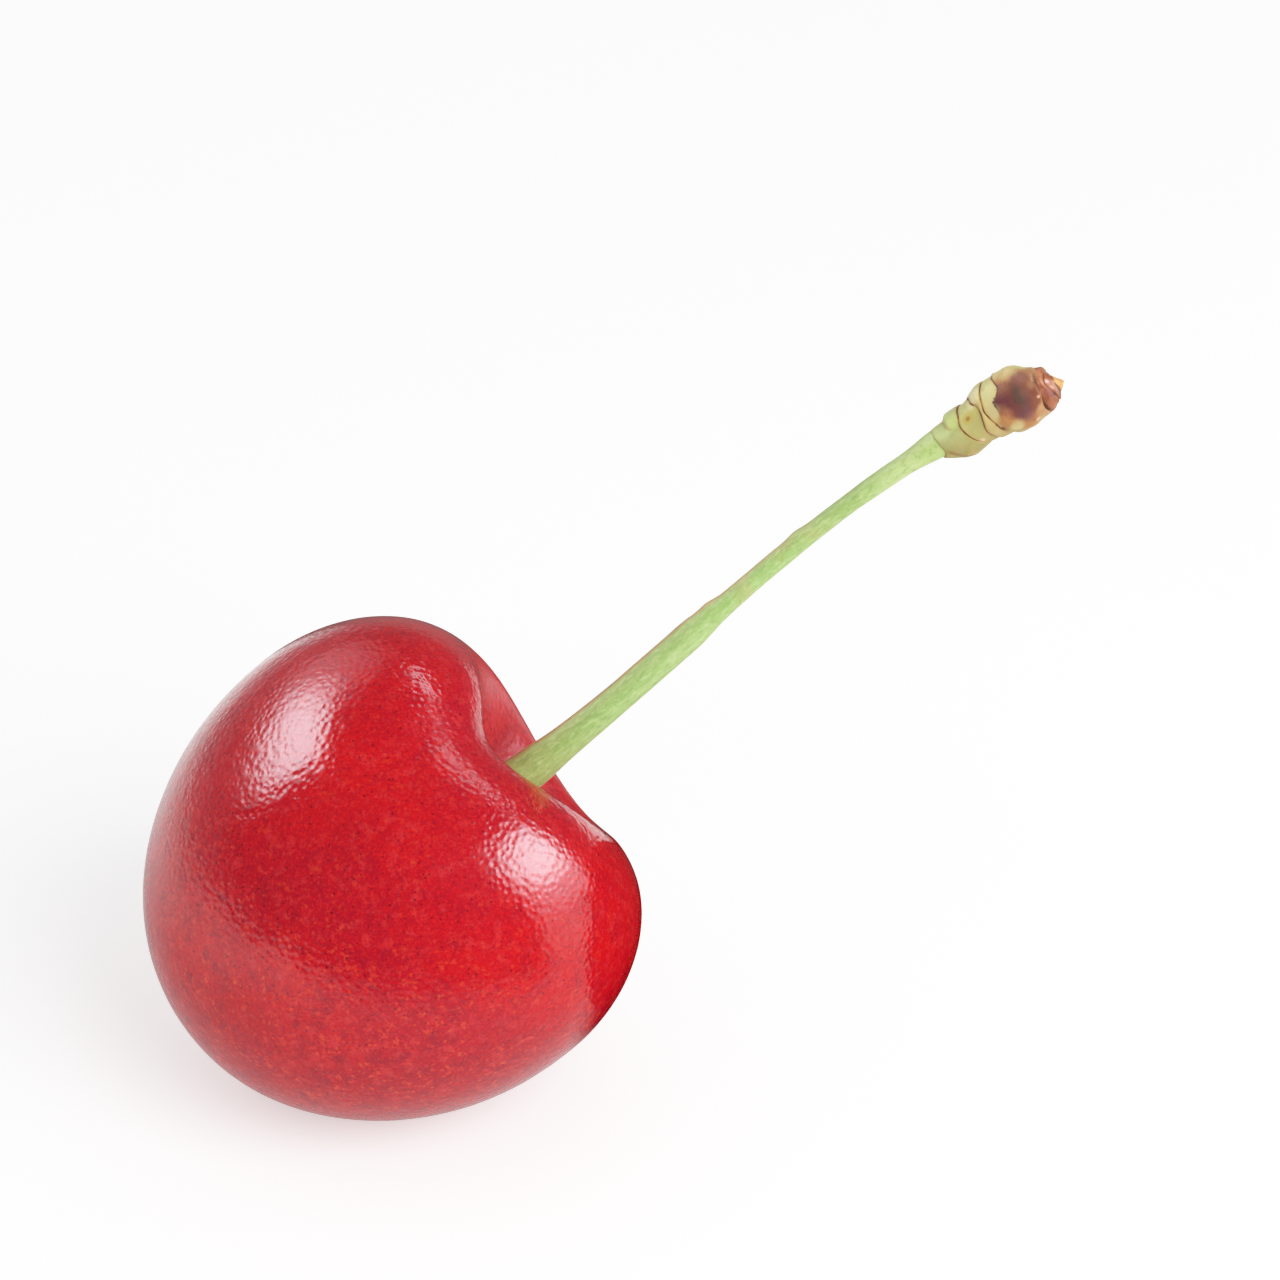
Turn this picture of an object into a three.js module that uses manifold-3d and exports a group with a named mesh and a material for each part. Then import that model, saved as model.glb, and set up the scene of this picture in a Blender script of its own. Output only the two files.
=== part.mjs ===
// A sweet cherry lying on its side, with the whole stalk it was picked with.
// Millimetres, +Z up. The origin is the middle of the small flat spot it rests on.
import * as THREE from 'three';
import { mergeVertices } from 'three/addons/utils/BufferGeometryUtils.js';
import Module from 'manifold-3d';

const wasm = await Module();
wasm.setup();

// Clearance between two pieces that sit one inside the other.
const GAP = 0.3;

// The fruit in its own frame: Z is its axis towards the stalk, X the side with the seam.
const FRUIT = {
  radius: 13.0,
  beltHeight: 1.6,
  bottomHeight: -13.4,
  crestRadius: 6.1,
  crestHeight: 10.6,
  floorHeight: 5.5,
  seamNotch: { depth: 1.6, nearWidth: degrees(31), farWidth: degrees(44) },
  backNotch: { depth: 1.4, width: degrees(52) },
  notchZone: { from: 1.0, to: 9.5, innerRadius: 4.0 },
  seamFlattening: 0.10,
  seamGroove: { depth: 0.22, width: degrees(13), reach: 6.0, innerRadius: 5.0 },
};

// How the fruit lies: turned about its axis, tipped from upright, then swung about Z.
const FRUIT_POSE = {
  centre: new THREE.Vector3(0.6, 0.2, 12.4),
  turn: degrees(216),
  tip: degrees(53.5),
  swing: degrees(16),
};

// The line that the stalk and its knob follow, and where the knob begins on it.
const FOOT_HEIGHT = 4.9;
const STALK_LINE = {
  lowHandle: new THREE.Vector3(15.2, 3.5, 22.2),
  highHandle: new THREE.Vector3(22.1, 6.5, 31.8),
  end: new THREE.Vector3(34.8, 5.7, 38.4),
};
const KNOB_LENGTH = 6.8;

// The knob's middle leaves the line a little: down by its seam, up towards its tip.
const KNOB_HUMP = 0.1;
const KNOB_SWAY = 0.13;

// The seam between stalk and knob runs aslant: how far per millimetre across, and its reach.
const SEAM_SLANT = 0.42;
const SEAM_REACH = 1.0;

const STALK = {
  footRadius: 1.1,
  middleRadius: 0.54,
  topRadius: 0.77,
  footFade: 8.5,
  topFade: 1.5,
  flare: 0.15,
  flareFade: 0.6,
  domeHeight: 0.3,
  shoulder: 0.15,
  pegLength: 0.6,
  pegRadius: 0.5,
};

// Distances along the knob are measured from its seam with the stalk.
const BUD_SCALES = {
  outline: [
    [0.1, 0.95], [0.5, 1.02], [1.5, 1.18], [2.3, 1.3],
    [3.1, 1.34], [3.9, 1.47], [4.6, 1.51], [5.55, 1.25],
  ],
  edgeHeight: 0.11,
  edgeRun: 0.12,
  edgeFade: 0.9,
  socketRadius: 0.78,
  socketDepth: 0.9,
};

// The free edge of each ring of scales: its distance, its lean and its wave round the knob.
const SCALE_EDGES = [
  { at: 0.45, lean: 0.15, leanTowards: degrees(350), wave: 0.08, waveAt: degrees(40) },
  { at: 1.42, lean: 0.20, leanTowards: degrees(170), wave: 0.06, waveAt: degrees(150) },
  { at: 2.38, lean: 0.22, leanTowards: degrees(160), wave: 0.05, waveAt: degrees(80) },
  { at: 2.98, lean: 0.18, leanTowards: degrees(150), wave: 0.14, waveAt: degrees(20) },
  { at: 3.62, lean: 0.10, leanTowards: degrees(30), wave: 0.12, waveAt: degrees(110) },
];

const TORN_TIP = {
  outline: [
    [5.1, 0.7], [5.2, 0.82], [5.55, 0.86], [5.8, 1.1],
    [6.05, 1.05], [6.35, 0.82], [6.65, 0.4], [6.8, 0],
  ],
  foldHeight: 0.08,
  foldSpacing: 0.42,
  foldsFrom: 5.75,
};

const DETAIL = {
  fruitLower: 20,
  fruitUpper: 14,
  fruitCavity: 10,
  fruitRound: 64,
  stalkRows: 56,
  stalkRound: 16,
  knobRows: 54,
  knobRound: 40,
  tipRows: 26,
  tipRound: 32,
};

function degrees(angle) {
  return THREE.MathUtils.degToRad(angle);
}

// Rises smoothly from 0 to 1 as value goes from low to high.
function rise(value, low, high) {
  return THREE.MathUtils.smoothstep(value, low, high);
}

// A smooth hump round the fruit, centred on an angle and 1 high.
function hump(angle, centre, width) {
  const away = Math.atan2(Math.sin(angle - centre), Math.cos(angle - centre));
  return Math.exp(-((away / width) ** 2));
}

// Straight-line reading of a list of [distance, radius] pairs.
function readOutline(outline, distance) {
  const next = outline.findIndex(([at]) => at >= distance);
  if (next <= 0) {
    return next === 0 ? outline[0][1] : outline.at(-1)[1];
  }
  const [[fromAt, fromRadius], [toAt, toRadius]] = [outline[next - 1], outline[next]];
  return THREE.MathUtils.mapLinear(distance, fromAt, toAt, fromRadius, toRadius);
}

// The same body with positions only, shared vertices and no triangle of zero area.
function welded(geometry) {
  geometry.deleteAttribute('normal');
  geometry.deleteAttribute('uv');
  const body = mergeVertices(geometry);
  const corners = [];
  const index = body.index.array;
  for (let i = 0; i < index.length; i += 3) {
    const [a, b, c] = index.slice(i, i + 3);
    if (a !== b && b !== c && c !== a) {
      corners.push(a, b, c);
    }
  }
  body.setIndex(corners);
  return body;
}

// A body turned about Z from [radius, height] points that start and end on the axis.
function turned(profile, segments) {
  const points = profile.map(([radius, height]) => new THREE.Vector2(radius, height));
  return welded(new THREE.LatheGeometry(points, segments)).rotateX(Math.PI / 2);
}

// Moves every vertex by a rule that edits the point it is given.
function reshaped(geometry, rule) {
  const places = geometry.attributes.position;
  const point = new THREE.Vector3();
  for (let i = 0; i < places.count; i += 1) {
    rule(point.fromBufferAttribute(places, i));
    places.setXYZ(i, point.x, point.y, point.z);
  }
  return geometry;
}

function toSolid(geometry) {
  return new wasm.Manifold(new wasm.Mesh({
    numProp: 3,
    vertProperties: new Float32Array(geometry.attributes.position.array),
    triVerts: new Uint32Array(geometry.index.array),
  }));
}

function toMesh(solid, name, look) {
  const { vertProperties, triVerts } = solid.getMesh();
  const geometry = new THREE.BufferGeometry();
  geometry.setAttribute('position', new THREE.BufferAttribute(vertProperties, 3));
  geometry.setIndex(new THREE.BufferAttribute(triVerts, 1));
  geometry.computeVertexNormals();
  const mesh = new THREE.Mesh(geometry, new THREE.MeshStandardMaterial(look));
  mesh.name = name;
  return mesh;
}

// ---- Fruit -----------------------------------------------------------------------------

function fruitPlacement() {
  return new THREE.Matrix4()
    .makeTranslation(FRUIT_POSE.centre)
    .multiply(new THREE.Matrix4().makeRotationZ(FRUIT_POSE.swing))
    .multiply(new THREE.Matrix4().makeRotationY(FRUIT_POSE.tip))
    .multiply(new THREE.Matrix4().makeRotationZ(FRUIT_POSE.turn));
}

// Half the outline: a quarter ellipse up to the belt, another up to the crest,
// and a smooth bowl from the crest down to the floor of the stalk cavity.
function fruitProfile() {
  const { radius, beltHeight, bottomHeight, crestRadius, crestHeight, floorHeight } = FRUIT;
  const profile = [];
  for (let i = 0; i <= DETAIL.fruitLower; i += 1) {
    const angle = (Math.PI / 2) * (i / DETAIL.fruitLower);
    profile.push([radius * Math.sin(angle), beltHeight - (beltHeight - bottomHeight) * Math.cos(angle)]);
  }
  for (let i = 1; i <= DETAIL.fruitUpper; i += 1) {
    const angle = (Math.PI / 2) * (i / DETAIL.fruitUpper);
    const out = crestRadius + (radius - crestRadius) * Math.cos(angle);
    profile.push([out, beltHeight + (crestHeight - beltHeight) * Math.sin(angle)]);
  }
  for (let i = DETAIL.fruitCavity - 1; i >= 0; i -= 1) {
    const share = i / DETAIL.fruitCavity;
    const climb = (1 - Math.cos(Math.PI * share)) / 2;
    profile.push([crestRadius * share, floorHeight + (crestHeight - floorHeight) * climb]);
  }
  return profile;
}

// The rim dips at the seam and again behind it; the seam side is flatter, with a faint groove.
function shapeFruit(point) {
  const { seamNotch, backNotch, notchZone, seamGroove, seamFlattening, bottomHeight } = FRUIT;
  const out = Math.hypot(point.x, point.y);
  const angle = Math.atan2(point.y, point.x);
  const notchWidth = angle < 0 ? seamNotch.nearWidth : seamNotch.farWidth;
  const dipAtSeam = seamNotch.depth * hump(angle, 0, notchWidth);
  const dipBehind = backNotch.depth * hump(angle, Math.PI, backNotch.width);
  const nearRim = rise(point.z, notchZone.from, notchZone.to) * rise(out, 0, notchZone.innerRadius);
  const flattened = seamFlattening * Math.max(Math.cos(angle), 0) ** 2;
  const awayFromBottom = rise(point.z, bottomHeight, bottomHeight + seamGroove.reach);
  const onSide = awayFromBottom * rise(out, 0, seamGroove.innerRadius);
  const radius = out * (1 - flattened) - seamGroove.depth * hump(angle, 0, seamGroove.width) * onSide;
  const height = point.z - (dipAtSeam + dipBehind) * nearRim;
  point.set(radius * Math.cos(angle), radius * Math.sin(angle), height);
}

function makeFruit() {
  const placement = fruitPlacement();
  const flesh = reshaped(turned(fruitProfile(), DETAIL.fruitRound), shapeFruit).applyMatrix4(placement);
  const socketRadius = STALK.footRadius + STALK.flare + GAP;
  const socketFloor = FOOT_HEIGHT - GAP;
  const socketTop = FRUIT.crestHeight;
  const socket = turned(
    [[0, socketFloor], [socketRadius, socketFloor], [socketRadius, socketTop], [0, socketTop]],
    DETAIL.fruitRound / 2,
  ).applyMatrix4(placement);
  const size = 4 * FRUIT.radius;
  const belowRest = welded(new THREE.BoxGeometry(size, size, size)).translate(0, 0, -size / 2);
  return toSolid(flesh).subtract(toSolid(socket)).subtract(toSolid(belowRest));
}

// ---- Stalk line ------------------------------------------------------------------------

function makeStalkLine() {
  const foot = new THREE.Vector3(0, 0, FOOT_HEIGHT).applyMatrix4(fruitPlacement());
  const line = new THREE.CubicBezierCurve3(foot, STALK_LINE.lowHandle, STALK_LINE.highHandle, STALK_LINE.end);
  line.arcLengthDivisions = 400;
  return line;
}

const stalkLine = makeStalkLine();
const lineLength = stalkLine.getLength();
const stalkLength = lineLength - KNOB_LENGTH;

// Bends a straight body onto the stalk line: Z becomes distance along it, X its upper side.
// Near the seam every section leans, so that stalk and knob keep meeting face to face.
function bend(point) {
  point.z -= SEAM_SLANT * point.x * Math.exp(-(((point.z - stalkLength) / SEAM_REACH) ** 2));
  const share = THREE.MathUtils.clamp(point.z / lineLength, 0, 1);
  const beyond = point.z - share * lineLength;
  const ahead = stalkLine.getTangentAt(share);
  const sideways = new THREE.Vector3().crossVectors(ahead, new THREE.Vector3(0, 0, 1)).normalize();
  const over = new THREE.Vector3().crossVectors(sideways, ahead);
  const { x, y } = point;
  point.copy(stalkLine.getPointAt(share)).addScaledVector(ahead, beyond);
  point.addScaledVector(over, x).addScaledVector(sideways, y);
}

function bendKnob(point) {
  const share = THREE.MathUtils.clamp(point.z / KNOB_LENGTH, 0, 1);
  point.x += KNOB_HUMP * Math.sin(Math.PI * share) - KNOB_SWAY * Math.sin(2 * Math.PI * share);
  point.z += stalkLength;
  bend(point);
}

// ---- Stalk -----------------------------------------------------------------------------

function stalkRadius(distance) {
  const { footRadius, middleRadius, topRadius, footFade, topFade, flare, flareFade } = STALK;
  const foot = (footRadius - middleRadius) * Math.exp(-distance / footFade);
  const flared = flare * Math.exp(-distance / flareFade);
  const top = (topRadius - middleRadius) * Math.exp((distance - stalkLength) / topFade);
  return middleRadius + foot + flared + top;
}

// A domed foot, the long slender stalk, and a short peg that enters the knob.
function makeStalk() {
  const { domeHeight, shoulder, pegRadius, pegLength } = STALK;
  const profile = [[0, 0], [0.7 * stalkRadius(0), 0.2 * domeHeight]];
  for (let i = 0; i <= DETAIL.stalkRows; i += 1) {
    const distance = THREE.MathUtils.lerp(domeHeight, stalkLength - shoulder, i / DETAIL.stalkRows);
    profile.push([stalkRadius(distance), distance]);
  }
  profile.push([pegRadius, stalkLength]);
  profile.push([pegRadius, stalkLength + 0.7 * pegLength]);
  profile.push([0.7 * pegRadius, stalkLength + pegLength]);
  profile.push([0, stalkLength + pegLength]);
  return toSolid(reshaped(turned(profile, DETAIL.stalkRound), bend));
}

// ---- Knob ------------------------------------------------------------------------------

// Each ring of scales steps out at its free edge and sinks back towards the next.
function liftOfScales(distance, angle) {
  const { edgeHeight, edgeRun, edgeFade } = BUD_SCALES;
  let lift = 0;
  for (const edge of SCALE_EDGES) {
    const lean = edge.lean * Math.cos(angle - edge.leanTowards);
    const wave = edge.wave * Math.cos(2 * (angle - edge.waveAt));
    const past = distance - (edge.at + lean + wave);
    lift += edgeHeight * rise(past, 0, edgeRun) * Math.exp(-Math.max(past, 0) / edgeFade);
  }
  return lift;
}

function shapeScales(point) {
  const out = Math.hypot(point.x, point.y);
  if (out > 0) {
    const angle = Math.atan2(point.y, point.x);
    const full = readOutline(BUD_SCALES.outline, point.z);
    const grown = (out / full) * (full + liftOfScales(point.z, angle));
    point.setX(grown * Math.cos(angle)).setY(grown * Math.sin(angle));
  }
  bendKnob(point);
}

function makeBudScales() {
  const { outline, socketRadius, socketDepth } = BUD_SCALES;
  const [start, end] = [outline[0][0], outline.at(-1)[0]];
  const profile = [[0, start]];
  for (let i = 0; i <= DETAIL.knobRows; i += 1) {
    const distance = THREE.MathUtils.lerp(start, end, i / DETAIL.knobRows);
    profile.push([readOutline(outline, distance), distance]);
  }
  profile.push([0, end]);
  const body = reshaped(turned(profile, DETAIL.knobRound), shapeScales);
  const socketProfile = [[0, -GAP], [socketRadius, -GAP], [socketRadius, socketDepth], [0, socketDepth]];
  const socket = reshaped(turned(socketProfile, DETAIL.stalkRound * 2), bendKnob);
  return toSolid(body).subtract(toSolid(socket)).subtract(makeTipRecess(end));
}

// The dished end of the knob that the torn tip stands in, clear of it all round.
function makeTipRecess(rim) {
  const base = TORN_TIP.outline[0];
  const mouth = readOutline(TORN_TIP.outline, rim) + GAP;
  const profile = [
    [0, base[0] - GAP], [base[1] + GAP, base[0] - GAP / 2],
    [mouth, rim], [mouth, rim + 1], [0, rim + 1],
  ];
  return toSolid(reshaped(turned(profile, DETAIL.knobRound), bendKnob));
}

// ---- Torn tip --------------------------------------------------------------------------

// Spiral folds of dry scale run round the broken end.
function shapeTip(point) {
  const { foldHeight, foldSpacing, foldsFrom } = TORN_TIP;
  const out = Math.hypot(point.x, point.y);
  const angle = Math.atan2(point.y, point.x);
  const turns = (point.z - out) / foldSpacing;
  const onOutside = rise(point.z, foldsFrom - 0.2, foldsFrom + 0.1);
  const fold = foldHeight * Math.cos(2 * Math.PI * turns + angle) * onOutside;
  const grown = out > 0 ? 1 + (fold * rise(out, 0, 0.4)) / out : 1;
  point.set(point.x * grown, point.y * grown, point.z);
  bendKnob(point);
}

function makeTornTip() {
  const { outline } = TORN_TIP;
  const [start, end] = [outline[0][0], outline.at(-1)[0]];
  const profile = [[0, start]];
  for (let i = 0; i <= DETAIL.tipRows; i += 1) {
    const distance = THREE.MathUtils.lerp(start, end, i / DETAIL.tipRows);
    profile.push([readOutline(outline, distance), distance]);
  }
  return toSolid(reshaped(turned(profile, DETAIL.tipRound), shapeTip));
}

// ---- The whole cherry ------------------------------------------------------------------

const cherry = new THREE.Group();
cherry.name = 'cherry_on_stalk';
cherry.add(
  toMesh(makeFruit(), 'fruit', { color: 0xb3141f, roughness: 0.2, metalness: 0 }),
  toMesh(makeStalk(), 'stalk', { color: 0x8fb45c, roughness: 0.5, metalness: 0 }),
  toMesh(makeBudScales(), 'bud_scales', { color: 0xcfc88a, roughness: 0.6, metalness: 0 }),
  toMesh(makeTornTip(), 'torn_tip', { color: 0x9a5238, roughness: 0.7, metalness: 0 }),
);

export default cherry;
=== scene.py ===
"""A sweet cherry lying on its side, with the whole stalk it was picked with.

The classes hold their sizes in millimetres and their angles in degrees. A finished mesh is
in metres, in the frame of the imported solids: +Z is up and the origin is the middle of the
small flat spot that the fruit lies on.
"""

import bisect
import logging
import math
from collections.abc import Callable, Sequence
from dataclasses import dataclass, field, replace
from enum import Enum
from functools import reduce
from typing import ClassVar

import bmesh
import bpy
from mathutils import Matrix, Quaternion, Vector, noise
from mathutils.geometry import interpolate_bezier


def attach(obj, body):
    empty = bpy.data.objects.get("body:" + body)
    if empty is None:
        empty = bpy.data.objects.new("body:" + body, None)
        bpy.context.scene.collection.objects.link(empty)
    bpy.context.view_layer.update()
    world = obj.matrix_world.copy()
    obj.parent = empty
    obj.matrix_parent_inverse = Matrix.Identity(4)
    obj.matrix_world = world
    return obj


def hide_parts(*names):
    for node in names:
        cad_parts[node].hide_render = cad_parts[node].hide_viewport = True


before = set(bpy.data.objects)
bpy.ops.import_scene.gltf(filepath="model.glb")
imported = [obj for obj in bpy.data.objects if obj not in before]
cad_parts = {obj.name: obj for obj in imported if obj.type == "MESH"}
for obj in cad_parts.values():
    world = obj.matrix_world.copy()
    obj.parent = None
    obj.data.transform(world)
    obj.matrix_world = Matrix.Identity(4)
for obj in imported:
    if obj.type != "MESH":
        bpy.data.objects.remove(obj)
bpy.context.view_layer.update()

log = logging.getLogger("cherry")

MM = 0.001

# Vertices of a turned body that are nearer than this, in millimetres, become one.
WELD = 1e-4

# The attributes that the meshes carry for their materials.
OWN_PLACE = "own_place"
EDGE_LINE = "edge_line"
RING_LEVEL = "ring_level"
PAST_FLAP = "past_flap"

Point = tuple[float, float, float]
Colour = tuple[float, float, float]

# Pairs of numbers, such as a place and the value there.
Outline = tuple[tuple[float, float], ...]

# The directions of the axes.
ACROSS: Point = (1.0, 0.0, 0.0)
SIDEWAYS: Point = (0.0, 1.0, 0.0)
UP: Point = (0.0, 0.0, 1.0)


class Slot(Enum):
    """The record's material slots."""

    FRUIT_SKIN = "fruit_skin"
    GREEN_STALK = "green_stalk"
    PALE_SCALES = "pale_scales"
    BROWN_SCALES = "brown_scales"


class Solid(Enum):
    """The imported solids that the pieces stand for."""

    FRUIT = "fruit"
    STALK = "stalk"
    BUD_SCALES = "bud_scales"
    TORN_TIP = "torn_tip"


# ---- Shaping by numbers --------------------------------------------------------------------


def rise(value: float, low: float, high: float) -> float:
    """Climbs smoothly from 0 at low to 1 at high."""
    share = min(max((value - low) / (high - low), 0.0), 1.0)
    return share * share * (3.0 - 2.0 * share)


def hump(angle: float, centre: float, width: float) -> float:
    """A smooth hump round an axis, 1 high at its centre.

    Args:
        angle: Where round the axis it is read, in radians.
        centre: The middle of the hump, in radians.
        width: How far from the middle it has sunk to 1/e, in radians.

    Returns:
        The height of the hump at that angle.
    """
    away = math.atan2(math.sin(angle - centre), math.cos(angle - centre))
    return math.exp(-((away / width) ** 2))


def slope(start: tuple[float, float], end: tuple[float, float]) -> float:
    """How steeply a curve climbs from one of its points to another."""
    return (end[1] - start[1]) / (end[0] - start[0])


def read_smooth(outline: Outline, at: float, turn: float = 0.0) -> float:
    """Reads a list of (place, value) pairs on a smooth curve through them.

    Args:
        outline: The pairs, in rising place.
        at: Where it is read.
        turn: After how far the curve meets itself again, or 0 where it is open.

    Returns:
        The value there; past the ends of an open curve, that of the nearest end.
    """
    if turn:
        at = (at - outline[0][0]) % turn + outline[0][0]
        (last_at, last), (first_at, first), (next_at, following) = outline[-1], *outline[:2]
        ahead = ((first_at + turn, first), (next_at + turn, following))
        outline = ((last_at - turn, last), *outline, *ahead)
    after = bisect.bisect_right([place for place, _ in outline], at)
    if after == 0:
        return outline[0][1]
    if after == len(outline):
        return outline[-1][1]
    before = after - 1
    leaving = slope(outline[max(before - 1, 0)], outline[after])
    arriving = slope(outline[before], outline[min(after + 1, len(outline) - 1)])
    (from_at, low), (to_at, high) = outline[before], outline[after]
    step = to_at - from_at
    share = (at - from_at) / step
    blend = share * share * (3.0 - 2.0 * share)
    bow = leaving * (1.0 - share) - arriving * share
    return low + blend * (high - low) + share * (1.0 - share) * bow * step


def turned(profile: Sequence[tuple[float, float]], steps: int) -> bmesh.types.BMesh:
    """Spins an open profile that starts and ends on the Z axis into a closed body.

    Args:
        profile: (radius, height) pairs, from the bottom to the top.
        steps: How many columns of faces go round.

    Returns:
        The closed body, with its faces pointing outwards.
    """
    body = bmesh.new()
    points = [body.verts.new((radius, 0.0, height)) for radius, height in profile]
    edges = [body.edges.new(pair) for pair in zip(points, points[1:])]
    bmesh.ops.spin(
        body,
        geom=points + edges,
        cent=(0.0, 0.0, 0.0),
        axis=UP,
        angle=math.tau,
        steps=steps,
        use_merge=True,
    )
    bmesh.ops.remove_doubles(body, verts=body.verts, dist=WELD)
    bmesh.ops.recalc_face_normals(body, faces=body.faces)
    return body


def reshape(body: bmesh.types.BMesh, rule: Callable[[Vector], Vector]) -> None:
    """Moves every vertex of a body to where a rule puts it."""
    for vert in body.verts:
        vert.co = rule(vert.co)


def remember_place(body: bmesh.types.BMesh) -> None:
    """Keeps each vertex's place now, so that markings follow the body when it is bent.

    Args:
        body: The body, still straight.
    """
    places = body.verts.layers.float_vector.new(OWN_PLACE)
    for vert in body.verts:
        vert[places] = vert.co


def as_object(body: bmesh.types.BMesh, name: str) -> bpy.types.Object:
    """Turns a body in millimetres into a smooth object in metres.

    Args:
        body: The body, which is used up.
        name: The object's name, and its mesh's.

    Returns:
        The object.
    """
    bmesh.ops.scale(body, vec=(MM, MM, MM), verts=body.verts)
    mesh = bpy.data.meshes.new(name)
    body.to_mesh(mesh)
    body.free()
    mesh.shade_smooth()
    made = bpy.data.objects.new(name, mesh)
    bpy.context.scene.collection.objects.link(made)
    return made


# ---- Materials by expression ---------------------------------------------------------------


class Field:
    """A shader socket that takes part in Python expressions."""

    def __init__(self, recipe: "Recipe", socket: bpy.types.NodeSocket) -> None:
        """Wraps one output socket of a recipe's tree."""
        self.recipe = recipe
        self.socket = socket

    def maths(self, operation: str, first: "Field | float", second: "Field | float") -> "Field":
        """Adds one Math node.

        Args:
            operation: The node's operation.
            first: The value of its first socket.
            second: The value of its second socket.

        Returns:
            The node's result.
        """
        node = self.recipe.node("ShaderNodeMath", {"operation": operation}, {0: first, 1: second})
        return Field(self.recipe, node.outputs[0])

    def __add__(self, other: "Field | float") -> "Field":
        """self + other."""
        return self.maths("ADD", self, other)

    def __radd__(self, other: float) -> "Field":
        """other + self."""
        return self.maths("ADD", other, self)

    def __sub__(self, other: "Field | float") -> "Field":
        """self - other."""
        return self.maths("SUBTRACT", self, other)

    def __rsub__(self, other: float) -> "Field":
        """other - self."""
        return self.maths("SUBTRACT", other, self)

    def __mul__(self, other: "Field | float") -> "Field":
        """self * other."""
        return self.maths("MULTIPLY", self, other)

    def __rmul__(self, other: float) -> "Field":
        """other * self."""
        return self.maths("MULTIPLY", other, self)

    def __truediv__(self, other: "Field | float") -> "Field":
        """self / other."""
        return self.maths("DIVIDE", self, other)

    def __pow__(self, other: "Field | float") -> "Field":
        """self ** other."""
        return self.maths("POWER", self, other)

    def maximum(self, other: "Field | float") -> "Field":
        """The greater of the two."""
        return self.maths("MAXIMUM", self, other)

    def smooth(self, low: float, high: float) -> "Field":
        """Climbs smoothly from 0 at low to 1 at high.

        Args:
            low: The value that gives 0.
            high: The value that gives 1; it may be the lower of the two.

        Returns:
            The share, from 0 to 1.
        """
        node = self.recipe.node(
            "ShaderNodeMapRange",
            {"interpolation_type": "SMOOTHSTEP"},
            {"Value": self, "From Min": low, "From Max": high},
        )
        return Field(self.recipe, node.outputs[0])

    def band(self, lower: tuple[float, float], upper: tuple[float, float]) -> "Field":
        """1 between two soft borders and 0 outside, each given from its outer value inwards."""
        return self.smooth(*lower) * self.smooth(*upper)


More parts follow.
